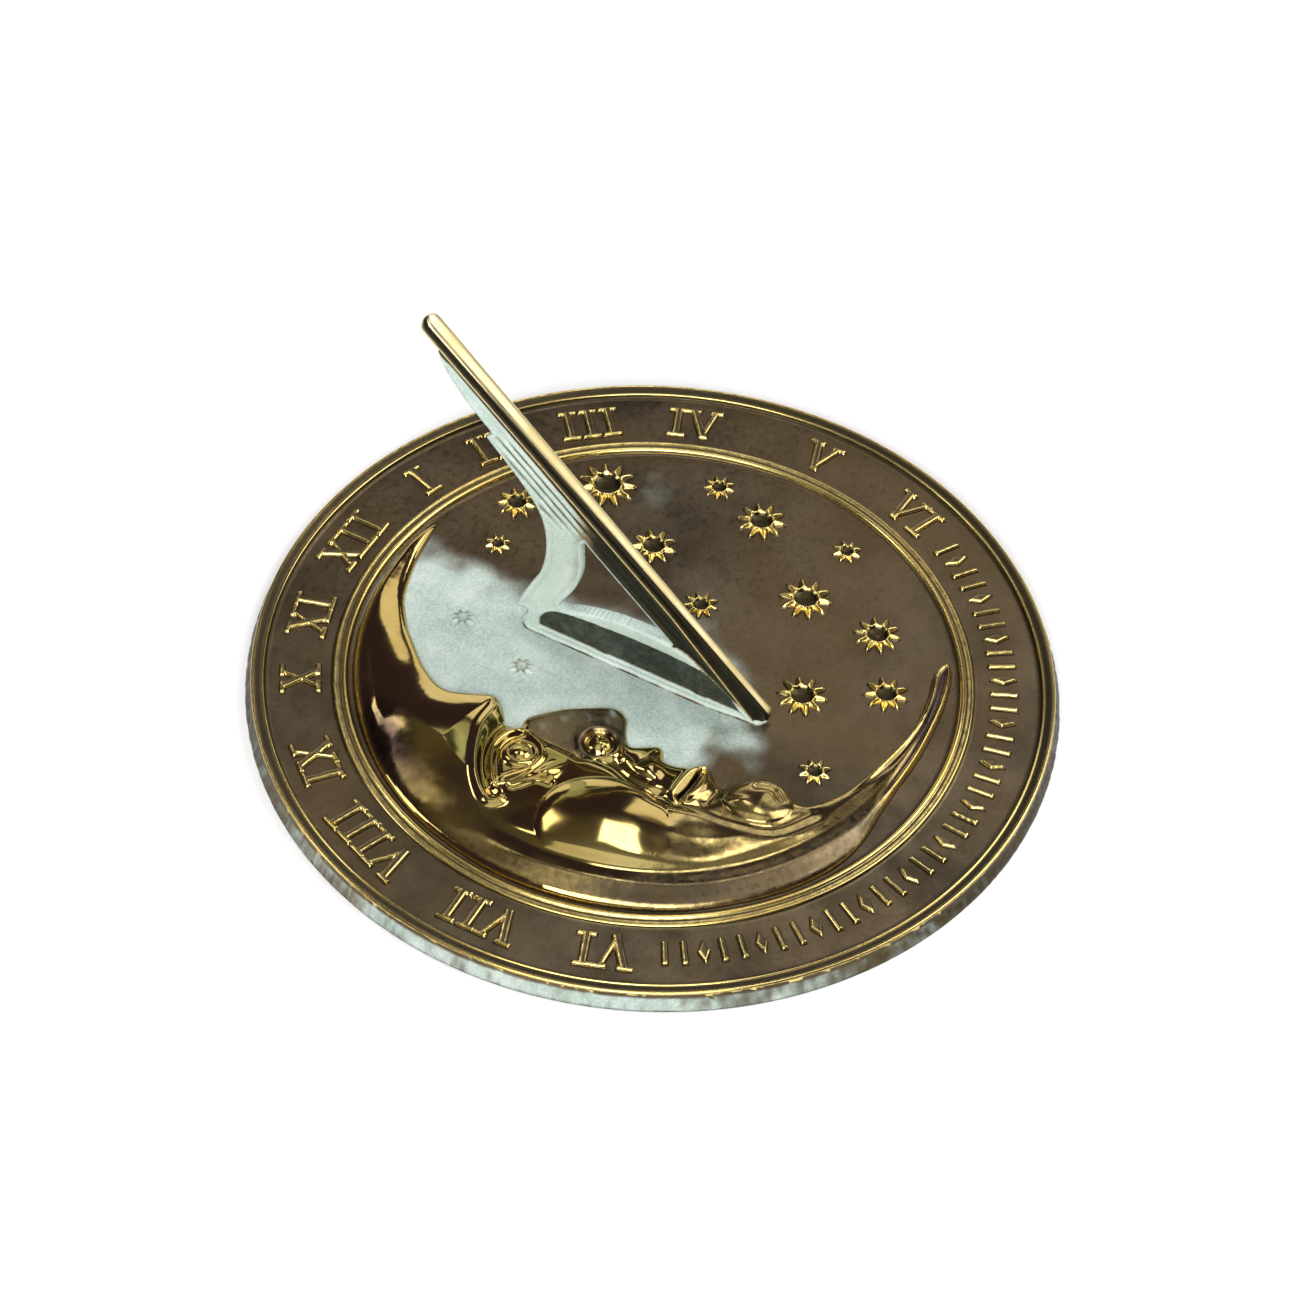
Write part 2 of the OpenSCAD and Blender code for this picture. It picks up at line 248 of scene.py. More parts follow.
def rim_edges(faces):
    """Directed edges that belong to one face only."""
    edges = np.vstack([faces[:, [i, (i + 1) % 4]] for i in range(4)])
    big = faces.max() + 1
    key = edges[:, 0] * big + edges[:, 1]
    back = edges[:, 1] * big + edges[:, 0]
    return edges[~np.isin(key, back)]


def relief(height, distance, margin, low, high, grid, sink=SINK):
    """Vertices and faces of a relief over an outline widened by a margin, with walls down to
    sink below the field. The open bottom is filled when the piece is made."""
    x, y = np.meshgrid(np.arange(low[0], high[0] + grid, grid),
                       np.arange(low[1], high[1] + grid, grid))
    keep = distance(x, y) + margin > 0
    used, faces = grid_cells(keep)
    x, y = x[used], y[used]
    top = np.stack([x, y, height(x, y)], 1)
    edges = rim_edges(faces)
    ring = np.unique(edges)
    foot = {v: len(top) + i for i, v in enumerate(ring)}
    bottom = top[ring].copy()
    bottom[:, 2] = FIELD_Z - sink
    verts = np.vstack([top, bottom])
    walls = [(b, a, foot[a], foot[b]) for a, b in edges]
    return verts, [tuple(f) for f in faces.tolist()] + walls


def turned(points, angle):
    """Points turned clockwise about the axis by that many degrees."""
    c, s = cos(radians(angle)), sin(radians(angle))
    x, y, z = points.T
    return np.stack([x * c + y * s, y * c - x * s, z], 1)


# ---- colour masks
LIT_SIDE = 192  # degrees anticlockwise from east: the side toward the key light and the camera. Edges and wall faces turned this way are painted lighter, those turned away painted darker: painted light and shade

# The patch of verdigris on the field; its western part lies under the moon.
TARNISH = [
    (16, 95), (9, 89), (10, 66), (9, 54), (14, 37), (20, 17), (28, 2), (20, -22), (4, -31),
    (-10, -39), (-20, -42), (-24, -36), (-45, -30), (-60, 20), (-52, 70), (-20, 98),
]


def field_verdigris(x, y):
    """How much pale verdigris lies on the plate at each point; two faint patches also stand in for a
    greyish sheen (painted sheen).
    """
    edge = 2.5 * unevenness(x, y, 23, 3) + 1.8 * unevenness(x, y, 8, 4)
    patch = step(outline_distance(x, y, TARNISH) + edge, -18, 15) * (1 - 0.5 * step(x, 9, 24))
    thin = bump(x, y, (-16, -30), (9, 5), 20, 0.3) + 0.12 * (0.5 + 0.5 * unevenness(x, y, 13, 6))
    # Two faint pale patches of thin verdigris, which also stand in for a greyish sheen on the field: a
    # painted sheen.
    faint_verdigris_and_sheen = bump(x, y, (72, 38), (20, 10), 20, 0.42) + bump(x, y, (38, 2), (14, 9), 60, 0.3)
    blot = bump(x, y, (-22, -38.5), (6, 4), 30, 0.6)
    return np.clip(1.08 * (patch - thin) + faint_verdigris_and_sheen - blot, 0, 1)


# ---- the dial plate
def arc(cx, cz, rx, rz, start, end, count):
    """Points on part of an ellipse in the profile plane, ends included."""
    a = np.radians(np.linspace(start, end, count))
    return [(cx + rx * cos(t), cz + rz * sin(t)) for t in a]


def plate_profile():
    """(radius, height) from the middle of the top, over the rim, to the middle underneath."""
    top = [(r, FIELD_Z) for r in np.arange(1.5, RING_IN_R - 0.5, 1.5)]
    moulding = [(RING_IN_R - 0.25, FIELD_Z)]
    moulding += arc(RING_IN_R + 1.0, FIELD_Z + 0.3, 1.0, 1.3, 180, 20, 9)
    moulding += [(RING_IN_R + 2.3, FIELD_Z + 0.95), (RING_IN_R + 3.3, FIELD_Z + 0.85)]
    moulding += arc(RING_R - 0.55, FIELD_Z + 0.45, 0.6, 0.6, 150, -10, 7)
    moulding += [(RING_R + 0.1, FIELD_Z + 0.02)]
    hours = [(r, FIELD_Z) for r in np.arange(RING_R + 1.2, RIM_IN_R - 0.8, 1.2)]
    rim = [(RIM_IN_R - 0.3, FIELD_Z + 0.02)]
    rim += arc(RIM_IN_R + 0.35, FIELD_Z + 0.75, 0.42, 0.72, 180, 30, 7)
    rim += [(RIM_IN_R + 1.0, RIM_Z - 0.75), (RIM_IN_R + 1.7, RIM_Z - 0.48)]
    rim += [(RIM_IN_R + 2.4, RIM_Z - 0.25), (RIM_IN_R + 3.0, RIM_Z - 0.1)]
    rim += arc(RIM_R - 0.62, RIM_Z - 0.6, 0.6, 0.6, 110, 0, 8)
    wall = [(RIM_R + 0.1, RIM_Z - 1.2), (RIM_R + 0.2, 5.2), (RIM_R + 0.45, 4.4), (RIM_R + 0.8, 3.6)]
    wall += [(RIM_R + 1.2, 2.7), (FOOT_R - 0.35, 1.8), (FOOT_R - 0.1, 1.0), (FOOT_R, 0.5)]
    wall += [(FOOT_R - 0.15, 0.15), (FOOT_R - 0.6, 0.0)]
    under = [(r, 0.0) for r in (129, 126, 123, FOOT_IN_R + 0.6)]
    under += [(FOOT_IN_R - 0.1, 0.4), (FOOT_IN_R - 1.0, CEILING_Z - 0.3), (FOOT_IN_R - 1.5, CEILING_Z)]
    under += [(r, CEILING_Z) for r in np.arange(114, BOSS_R + 2, -4.0)]
    under += [(BOSS_R + 0.6, CEILING_Z), (BOSS_R + 0.1, CEILING_Z - 0.5), (BOSS_R, BOSS_Z + 0.4)]
    under += [(BOSS_R - 0.4, BOSS_Z), (5.5, BOSS_Z), (STUD_R + 0.35, BOSS_Z)]
    under += [(STUD_R, BOSS_Z + 0.35), (STUD_R, STUD_TOP), (0.6, STUD_TOP + 0.2)]
    return np.array(top + moulding + hours + rim + wall + under)


def plate_wear(r, z):
    """Polish on the plate: the beads of the mouldings and the top of the rim."""
    wear = np.maximum.reduce([
        band(r, RING_IN_R + 0.9, 1.0),
        0.85 * band(r, RING_R - 0.4, 0.5),
        0.9 * band(r, RIM_IN_R + 0.35, 0.45),
        band(r, RIM_R - 0.5, 0.55),
        0.45 * ((r > RING_IN_R) & (r < RING_R)),
        0.17 * ((r > RING_R + 0.8) & (r < RIM_IN_R - 0.6)),
        0.1 * ((r > RIM_IN_R) & (r < RIM_R)),
    ])
    return np.where(z > FIELD_Z - 0.3, wear, 0.0)


def plate_masks(x, y, z):
    """Polish, verdigris and dark tarnish on the dial casting, with painted light and shade on its wall and
    a painted dark reflection along the top of the rim.
    """
    r = np.hypot(x, y)
    facing_lit_side = 0.5 + 0.5 * np.cos(np.arctan2(y, x) - radians(LIT_SIDE))
    wall = (r > RIM_R - 0.05) & (z < RIM_Z - 0.9)
    upper = z > FIELD_Z - 0.3
    # The wall's verdigris is made palest on the side facing the light and fades on the sides turned away:
    # painted light over the wall's own uneven verdigris.
    pale = 0.06 + 0.7 * facing_lit_side**4
    pale = pale + 0.14 * unevenness(x, y, 19, 9) + 0.16 * unevenness(x, y, 3.1, 10)
    pale = np.clip(pale * step(RIM_Z - 1.2 - z, 0, 1.2), 0, 1)
    verd = np.where(upper & (r <= RING_IN_R - 0.5), field_verdigris(x, y), 0.0)
    verd = np.where(wall, pale, verd)
    verd = np.where(z < 0.4, 0.45, verd)
    # Dark lines at the feet of the mouldings, and a dark band across the top of the rim, which is a painted
    # dark reflection.
    seams_and_rim_reflection = np.maximum.reduce([
        band(r, RING_IN_R - 0.5, 0.5),
        band(r, RING_IN_R + 2.4, 0.35),
        band(r, RING_R + 0.35, 0.5),
        band(r, RIM_IN_R - 0.5, 0.6),
        band(r, RIM_IN_R + 1.9, 1.1),
    ])
    # The wall is painted darker along its foot, where it curls under towards the floor, in a line just
    # under the rim, and on the sides turned away from the light, which is painted shade.
    wall_shade = 0.95 * (1 - step(z, 0.5, 1.3)) + 0.7 * step(z, 5.2, 5.9)
    wall_shade = np.maximum(wall_shade, 0.9 * (1 - facing_lit_side**5))
    dark = np.where(wall, wall_shade, seams_and_rim_reflection * upper)
    dark = np.where((z < FIELD_Z - 1.5) & ~wall, 0.35, dark)
    wear = np.where(wall, 0.2 * (1 - facing_lit_side), plate_wear(r, z))
    return {"wear": wear, "verd": verd, "dark": dark}


def cut_round(piece, centre, radius, z0, z1):
    """Cuts an upright round hole out of a piece."""
    bpy.ops.mesh.primitive_cylinder_add(vertices=64, radius=radius * MM, depth=(z1 - z0) * MM)
    tool = bpy.context.object
    tool.location = Vector((centre[0], centre[1], (z0 + z1) / 2)) * MM
    cut = piece.modifiers.new("hole", "BOOLEAN")
    cut.object = tool
    cut.solver = "EXACT"
    bpy.context.view_layer.update()
    depsgraph = bpy.context.evaluated_depsgraph_get()
    shape = bpy.data.meshes.new_from_object(piece.evaluated_get(depsgraph))
    piece.modifiers.clear()
    piece.data = shape
    bpy.data.objects.remove(tool)


def lathe(profile, segments):
    """Radius, angle and height of the points of a turned profile, and its faces. The two points
    after the last one close the ends on the axis."""
    rows = len(profile)
    r, z = np.repeat(profile[:, 0], segments), np.repeat(profile[:, 1], segments)
    angle = np.tile(np.arange(segments) * 2 * pi / segments, rows)
    i = np.arange(rows - 1)[:, None] * segments
    j = np.arange(segments)[None, :]
    k = (j + 1) % segments
    quads = np.stack([i + j, i + segments + j, i + segments + k, i + k], 2).reshape(-1, 4)
    faces = [tuple(f) for f in quads.tolist()]
    top, bottom = rows * segments, rows * segments + 1
    last = (rows - 1) * segments
    faces += [(top, v, (v + 1) % segments) for v in range(segments)]
    faces += [(bottom, last + (v + 1) % segments, last + v) for v in range(segments)]
    return r, angle, z, faces


def dial_casting():
    """The turned plate, slightly uneven on top and nicked on its wall, with its screw holes."""
    r, angle, z, faces = lathe(plate_profile(), 720)
    x, y = r * np.cos(angle), r * np.sin(angle)
    z = z + np.where(np.abs(z - FIELD_Z) < 0.01, 0.05 * unevenness(x, y, 22, 1), 0.0)
    nicks = np.clip(unevenness(x, y, 5.5, 7) - 0.2, 0, 1)
    nicks = nicks + 0.5 * np.clip(unevenness(x, y, 2.3, 8), 0, 1)
    wall = (r > RIM_R) & (z > 0.3) & (z < RIM_Z - 1.0)
    r = r - np.where(wall, 0.4 * nicks, 0.0)
    verts = np.stack([r * np.cos(angle), r * np.sin(angle), z], 1)
    verts = np.vstack([verts, [[0, 0, FIELD_Z], [0, 0, STUD_TOP + 0.2]]])
    piece = make_piece("dial_casting", verts, faces, PLATE, {})
    for screw_y in (-SCREW_Y, SCREW_Y):
        cut_round(piece, (0, screw_y), SCREW_HOLE_R, -2, FIELD_Z + 3)
        cut_round(piece, (0, screw_y), SCREW_SEAT_R, -2, CEILING_Z + 0.5)
    mesh = piece.data
    points = np.zeros(len(mesh.vertices) * 3)
    mesh.vertices.foreach_get("co", points)
    set_masks(mesh, plate_masks(*(points.reshape(-1, 3) / MM).T))
    mesh.polygons.foreach_set("use_smooth", [True] * len(mesh.polygons))
    return piece


# ---- numerals and border
def stroke(x0, x1, width):
    """A leaning bar of a letter, from the foot x0 to the head x1."""
    h, w = NUMERAL_H / 2, width / 2
    return [(x0 - w, -h), (x0 + w, -h), (x1 + w, h), (x1 - w, h)]


def serif(x, side, width):
    """The short bar across the head (side 1) or foot (side -1) of a stroke."""
    inner, outer = NUMERAL_H / 2 - 1.7, NUMERAL_H / 2
    low, high = (inner, outer) if side > 0 else (-outer, -inner)
    return [(x - width / 2, low), (x + width / 2, low), (x + width / 2, high), (x - width / 2, high)]


# Width of each letter, and the outlines it is made of
LETTERS = {
    "I": (7.0, [stroke(0, 0, 2.6), serif(0, 1, 6.4), serif(0, -1, 6.4)]),
    "V": (11.4, [stroke(0.4, -4, 2.8), stroke(-0.4, 4, 1.8), serif(-4, 1, 5.4), serif(4, 1, 4.6)]),
    "X": (11.4, [stroke(3.6, -3.6, 2.8), stroke(-3.6, 3.6, 1.8)]
          + [serif(x, side, 5) for x in (-3.6, 3.6) for side in (-1, 1)]),
}
LOZENGE = [(0, -4.4), (2, 0), (0, 4.4), (-2, 0)]
BAR = [(-0.95, -4.5), (0.95, -4.5), (0.95, 4.5), (-0.95, 4.5)]


def raised_edge(d):
    """Height of a cast letter by the distance in from its outline: a sloped side, a raised
    polished edge and a slightly sunken middle."""
    return NUMERAL_T * (0.86 * np.clip((d + 0.25) / 0.55, -2, 1) + 0.14 * band(d, 0.45, 0.3))


def edge_masks(distance, verts, angle):
    """Polish on a raised edge, with a painted highlight on the edges that face the lit side once the letter
    is turned by angle, painted shade on the edges that face away, and dark tarnish at its foot and in its
    middle."""
    x, y, z = verts.T
    d, small = distance(x, y), 0.05
    slope_x = distance(x - small, y) - distance(x + small, y)
    slope_y = distance(x, y - small) - distance(x, y + small)
    lit_way = radians(LIT_SIDE + angle)
    out = (slope_x * cos(lit_way) + slope_y * sin(lit_way)) / (2 * small)
    # Edges that face the lit side get a painted highlight over the polish.
    polish_and_highlight = 0.3 + 0.8 * step(out, -0.4, 0.6)
    wear = polish_and_highlight * band(d, 0.42, 0.48) * (z > FIELD_Z + 0.35)
    # Edges that face away from the lit side get painted shade.
    shaded_side = 0.8 * (1 - step(out, -0.85, -0.1)) * (1 - step(d, 0.5, 0.9))
    dark = np.maximum.reduce([1 - step(z - FIELD_Z, 0.0, 0.6), shaded_side, 0.35 * step(d, 0.7, 1.1)])
    return {"wear": np.clip(wear + 0.05, 0, 1), "verd": np.zeros(len(verts)), "dark": dark}


def raised_shape(distance, half, radius, angle, ripple):
    """Vertices, faces and masks of a cast letter or ornament in the hour band, turned by angle.
    half is its half width and height, ripple its unevenness: a height, a shift and a seed."""
    rise, shift, seed = ripple

    def height(px, py):
        surface = FIELD_Z + raised_edge(distance(px, py))
        return surface + rise * unevenness(px + shift, py, 3, seed)

    verts, faces = relief(height, distance, 0.6, (-half[0], -half[1]), half, 0.28)
    masks = edge_masks(distance, verts, angle)
    verts[:, 1] += radius
    return turned(verts, angle), faces, masks


def numeral(name, text, angle):
    """One hour numeral, turned clockwise from the XII by angle."""
    width = sum(LETTERS[c][0] for c in text)
    shapes, left = [], -width / 2
    for c in text:
        advance, strokes = LETTERS[c]
        middle = left + advance / 2
        shapes += [[(px + middle, py) for px, py in outline] for outline in strokes]
        left += advance

    def distance(px, py):
        return np.maximum.reduce([outline_distance(px, py, shape) for shape in shapes])

    half = width / 2 + 0.8, NUMERAL_H / 2 + 0.8
    verts, faces, masks = raised_shape(distance, half, NUMERAL_R, angle, (0.05, 0, 11))
    return make_piece(name, verts, faces, PLATE, masks)


def border_ornament():
    """Bars and lozenges in the lower part of the hour band."""
    shapes, all_faces, count = [], [], 0
    for i, angle in enumerate(np.linspace(BORDER_FROM, BORDER_TO, BORDER_BARS)):
        outline = LOZENGE if i % 3 == 1 else BAR

        def distance(px, py):
            return outline_distance(px, py, outline)

        verts, faces, masks = raised_shape(distance, (2.8, 5.4), BORDER_R, angle, (0.04, i, i))
        shapes.append((verts, masks))
        all_faces += [tuple(v + count for v in face) for face in faces]
        count += len(verts)
    all_verts = np.vstack([verts for verts, _ in shapes])
    all_masks = {key: np.concatenate([masks[key] for _, masks in shapes])
                 for key in ("wear", "verd", "dark")}
    all_masks["wear"] *= 0.85
    return make_piece("border_ornament", all_verts, all_faces, PLATE, all_masks)


# ---- stars
RAY = ((-1, 0.56), (-0.4, 0.86), (0, 1), (0.4, 0.86))  # share of half a ray's angle, reach


def star(name, cx, cy, radius, rays):
    """A ring of pointed, ridged rays round a sunken bowl."""
    outline = []
    for i in range(rays):
        for share, reach in RAY:
            a = pi * (2 * i + share) / rays
            outline.append((reach * radius * cos(a), reach * radius * sin(a)))
    tall = 1.1 + 0.1 * radius

    def distance(px, py):
        return outline_distance(px, py, outline)

    def height(px, py):
        d = distance(px, py)
        roof = np.where(d > 0, np.minimum(d * 1.5, tall), d * 2.2)
        bowl = 0.06 + tall * 1.2 * (np.hypot(px, py) / (0.5 * radius)) ** 3.2
        return FIELD_Z + np.minimum(roof, bowl) + 0.04 * unevenness(px + cx, py, 2.5, 21)

    size = radius + 1
    verts, faces = relief(height, distance, 0.5, (-size, -size), (size, size), 0.24)
    r = np.hypot(verts[:, 0], verts[:, 1]) / radius
    above = (verts[:, 2] - FIELD_Z) / tall
    verts[:, 0] += cx
    verts[:, 1] += cy
    verd = 0.9 * field_verdigris(np.array([float(cx)]), np.array([float(cy)]))
    verd = verd * (1 - 0.8 * step(verts[:, 0], 20, 26))
    dark = np.maximum(1 - step(r, 0.34, 0.48), 0.75 * (1 - step(above, 0.0, 0.2)))
    masks = {
        "wear": step(above, 0.16, 0.55) * (1 - 0.75 * verd),
        "verd": verd * (1 - 0.5 * step(above, 0.3, 0.9)),
        "dark": dark * (1 - 0.6 * verd),
    }
    return make_piece(name, verts, faces, PLATE, masks)


# ---- the moon
MOON_EDGE = spline(MOON, 4, True)
MOON_BROW_EDGE = spline(MOON[:10], 4, False)
NOSE = [(-45, 20), (-40, 28), (-28, 20), (-17, 3), (-22, -4), (-31, -9), (-41, -4), (-46, 2)]
NOSE_SKIN = [(-45, 20), (-38, 27), (-20, 4), (-22, -3), (-32, -9), (-45, 0)]
NOSTRIL = (-36.6, -0.3)
EYE = (-54.6, 18.8)
IRIS = (-54.0, 18.6)
CHEEK = (-66, -17.5)
CHIN = (-32, -54.5)
MOUTH_LINE = [(-42.6, -33.4), (-37, -33.8), (-31, -33.7)]

# Ridges of the face: path, width and height. A groove has a height below zero.
BROW = [(-40.5, 35.5), (-49.8, 35.2), (-57.6, 32.6), (-65.9, 28.2), (-72.5, 22.8), (-76.3, 17.5),
        (-74.2, 14.6)]
SOCKET = [(-43.5, 30.8), (-51, 31.2), (-57.5, 29.8), (-64.5, 26.6), (-70.5, 21.5), (-73, 17.5)]
LID = [(-45.2, 24.5), (-48, 26.6), (-52.4, 27.6), (-57.6, 27.2), (-63.7, 24.0), (-69.5, 20.0)]
UNDER_LID = [(-45.6, 22.4), (-49.5, 24.8), (-54, 25.4), (-59, 24.4), (-63.5, 21.8), (-67.5, 19.2)]
LOWER_LID = [(-67, 18.6), (-62.5, 15.4), (-58, 12.6), (-52.4, 12.0), (-47.4, 15.5), (-44.8, 21)]
UPPER_LIP = [(-46, -32.6), (-43.4, -30.6), (-37, -30.4), (-31.5, -31), (-27.5, -33.6)]
FACE_RIDGES = [
    (BROW, 1.5, 1.1),
    (SOCKET, 1.7, -1.5),
    (LID, 1.3, 1.0),
    (UNDER_LID, 0.9, -1.0),
    (LOWER_LID, 1.1, 0.9),
    ([(-67, 14), (-62, 9.5), (-60, 5)], 1.4, -0.7),  # crease at the corner of the eye
    ([(-44.5, 2), (-43.5, -8), (-46, -17), (-47, -26)], 2.2, -1.0),  # between nose and cheek
    ([(-40, -11), (-42, -16), (-42.5, -22)], 1.5, -0.5),  # between nose and lip
    (UPPER_LIP, 1.0, 0.9),
    ([(-43.4, -33.4), (-37, -33.8), (-29.5, -33.7)], 1.05, -2.4),  # mouth
    ([(-43, -35), (-40, -36.3), (-35.5, -37), (-29, -35.4)], 1.2, 1.0),  # lower lip
    ([(-40, -41.5), (-35, -41.8), (-30, -41)], 2.2, -1.0),  # between lip and chin
    ([(-27.8, -52), (-26, -57), (-28.5, -61)], 1.2, -1.1),  # front of the chin
    ([(-47, -28), (-45, -40), (-43.5, -52), (-40, -64), (-28, -72)], 3.0, -0.9),  # jaw
]

# Swellings of the face: centre, radii, turn and height. A hollow has a height below zero.
FACE_BUMPS = [
    ((-57.6, 7.8), (5.6, 2.3), -27, 1.3),  # under the eye
    ((-37.5, -18.8), (5.5, 3.2), 25, 0.9),  # over the lip
    ((-36, -50.5), (1.6, 3), 20, 0.5),  # chin
    ((-57, -47), (9, 10), 30, -0.9),  # under the cheek
    ((-56, 52), (12, 20), 35, 1.1),  # forehead
]


def lower_horn(x, y):
    """1 on the lower horn, 0 on the rest of the moon."""
    return step(x, -18, 8) * step(-y, 60, 70)


def moon_body(x, y, d):
    """The bare crescent, without a face; d is the distance in from its outline."""
    depth = np.clip(d, 0, None)
    shoulder = np.where(d > 0, 1.9 * (1 - np.exp(-d / 0.9)), 2.6 * d)
    body = 3.3 * (1 - np.exp(-depth / (14 - 4 * step(y, 35, 60))))
    # The upper horn banks up slowly from its inner edge and falls quickly at its outer one.
    bank = 2.6 * (1 - np.exp(-((path_distance(x, y, MOON_BROW_EDGE) / 8) ** 1.6)))
    bank = np.minimum(bank, 3 * (1 - np.exp(-depth / 3.5)))
    upper = step(y, 58, 72)
    h = shoulder + body * (1 - upper) + bank * upper
    # The outer side ends in a soft bead with a groove inside it.
    r = np.hypot(x, y)
    bead = 0.55 * band(r, 90, 2.0) - 0.75 * band(r, 84.5, 2.6)
    h = h + step(-y + 0.5 * x, -62, -30) * bead * step(d, 0.0, 3.0)
    # The lower horn carries a ridge along its inner side and a groove beside it.
    return h + lower_horn(x, y) * (0.8 * band(d, 1.1, 0.7) - 0.5 * band(d, 2.8, 0.8))


def moon_nose(x, y, d, h):
    """The height h with the nose cut in: a flat, low side and a raised wing round the nostril."""
    flat = step(outline_distance(x, y, NOSE), -3, 2.5)
    h = h * (1 - flat) + flat * np.minimum(h, 2.1 + 0.045 * (x + 45))
    r = np.hypot(x - NOSTRIL[0], (y - NOSTRIL[1]) * 0.95)
    h = h + 0.7 * band(r, 6.3, 1.2) * step(d, 0.0, 3.0) - 1.3 * band(r, 4.4, 0.9) + 0.9 * band(r, 0, 2.4)
    return h + bump(x, y, (-38.6, -3.2), (1.2, 0.9), 0, 0.8) + bump(x, y, (-34.2, 1.9), (1.0, 1.4), 20, 0.8)


def moon_height(x, y, d):
    """Height of the moon above the field; d is the distance in from its outline."""
    h = moon_nose(x, y, d, moon_body(x, y, d))
    for path, width, height in FACE_RIDGES:
        h = h + ridge(x, y, path, width, height)
    for centre, radii, turn, height in FACE_BUMPS:
        h = h + bump(x, y, centre, radii, turn, height)
    iris = np.hypot(x - IRIS[0], y - IRIS[1])
    h = h + dome(x, y, EYE, (6.2, 6.0), 0, 1.5) - 0.55 * band(iris, 3.5, 0.7) + 0.35 * band(iris, 0, 1.7)
    h = h + dome(x, y, CHIN, (9.5, 11.5), 12, 1.5)
    # The cheek has a firm edge towards the nose and a soft one behind.
    to_nose = step(((x - CHEEK[0]) * 0.75 + (y - CHEEK[1]) * 0.66) / 20, -0.35, 0.55)
    h = h + dome(x, y, CHEEK, (18.5, 21), 28, 3.2) * to_nose
    return h + bump(x, y, CHEEK, (22, 22), 28, 3.2) * (1 - to_nose)


def moon_masks(x, y, z):
    """Where the moon is polished, green or dark, with a painted dark reflection on the forehead and the
    outer side and a painted highlight streak on the outer side.
    """
    d = outline_distance(x, y, MOON_EDGE)
    horn = lower_horn(x, y)
    upper = step(y, 15, 45)
    streak = np.hypot(x, y) + 2.2 * unevenness(x, y, 17, 33) + 0.8 * unevenness(x, y, 5, 34)
    outer = step(streak, 83 - 8 * upper, 93 - 4 * upper) * step(-y + 0.4 * x, -95, -70)
    jaw = step(-y, 18, 45) * step(np.hypot(x - CHEEK[0], y - CHEEK[1]), 14, 26)
    wear = np.clip(0.8 - 0.36 * outer - 0.3 * jaw + 0.3 * band(d, 0.8, 0.8), 0, 1)
    wear = np.maximum(wear, horn * band(d, 1.1, 0.8))
    # A polished streak on the outer side stands in for a bright reflection there: a painted highlight.
    wear = np.clip(wear + bump(x, y, (-87, 28), (2.6, 11), 8, 0.7), 0, 1)
    # The side of the nose is dull and a little green.
    dull = 0.8 * step(outline_distance(x, y, NOSE_SKIN), -2, 3) * (np.hypot(x + 36.3, y) > 5)
    verd = 0.55 * dull * (0.5 + 0.5 * unevenness(x, y, 6, 5)) * (1 - step(d, 6, 12))
    verd = np.clip(verd, 0, 1) + 0.5 * field_verdigris(x, y) * (z < FIELD_Z + 0.7)
    nostril = np.hypot(x - NOSTRIL[0], y - NOSTRIL[1])
    dark = np.maximum.reduce([
        0.9 * (1 - step(z - FIELD_Z, 0.1, 1.1)) * (1 - step(verd, 0.2, 0.6)),
        ridge(x, y, MOUTH_LINE, 1.3, 0.95),
        0.8 * band(nostril, 4.4, 0.9),
        bump(x, y, (-70, 57), (9, 24), -36, 0.95) + bump(x, y, (-84, 14), (8, 30), 10, 0.35),  # painted dark reflection on the forehead and the outer side
        0.9 * horn * band(d, 2.8, 0.8),
    ])
    return {"wear": wear * (1 - dull), "verd": verd, "dark": np.clip(dark, 0, 1)}


def moon():
    def distance(px, py):
        return outline_distance(px, py, MOON_EDGE)

    def height(px, py):
        return FIELD_Z + moon_height(px, py, distance(px, py)) + 0.014 * unevenness(px, py, 9, 31)

    low, high = MOON_EDGE.min(0) - 1, MOON_EDGE.max(0) + 1
    verts, faces = relief(height, distance, 0.45, low, high, 0.4)
    return make_piece("moon_face", verts, faces, PLATE, moon_masks(*verts.T))


# ---- gnomon
STYLE_ALONG = np.array([cos(STYLE_ANGLE), sin(STYLE_ANGLE)])
STYLE_UP = np.array([-sin(STYLE_ANGLE), cos(STYLE_ANGLE)])
FLUTE_PITCH = 2.9


def under_bar(n):
    """Height of the bar's underside over a point on the north line."""
    foot = BAR_DEPTH / cos(STYLE_ANGLE)
    return TOE[1] + tan(STYLE_ANGLE) * (n - TOE[0]) - foot + 1


STRUT = [(51, 6), (46.5, 17), (42, 27), (40.3, 38.5), (42, 51), (48.8, 62.2), (62.9, 77.6)]
LEAF = [(60.5, 80), (64.3, 83.6), (70.8, 90.3), (77.3, 99), (83.5, under_bar(83.5))]
FOOT = [(-36, 1), (45, 1), (47, 6)]
WEB = np.vstack([FOOT, spline(STRUT, 6, False), LEAF, [(-33, under_bar(-33) - 4)]])

HOLE = [(-6, 19.5), (4, 19.8), (14, 19), (25, 16.5), (34.8, 14), (30, 24), (27.4, 34), (27.8, 46)]
WINDOW = np.vstack([spline(HOLE, 5, False), [(26.6, 48.6)]])

WALL_TOP = [(-12, 17.5), (-4, 19), (4, 19.6), (14, 19), (24, 16.6), (34, 12.4), (42, 8.2), (47, 4)]
WALL = np.vstack([[(-38.5, 0)], spline(WALL_TOP, 5, False), [(48, 2), (46.5, 0)]])

PANEL_TOP = [(-25, 11.6), (-18, 13.6), (-8, 14.6), (4, 14.8), (18, 14.2), (32, 12.6), (39, 9.6), (42, 5)]
PANEL = np.vstack([[(-33, 1.5)], spline(PANEL_TOP, 5, False), [(42, 1.5)]])


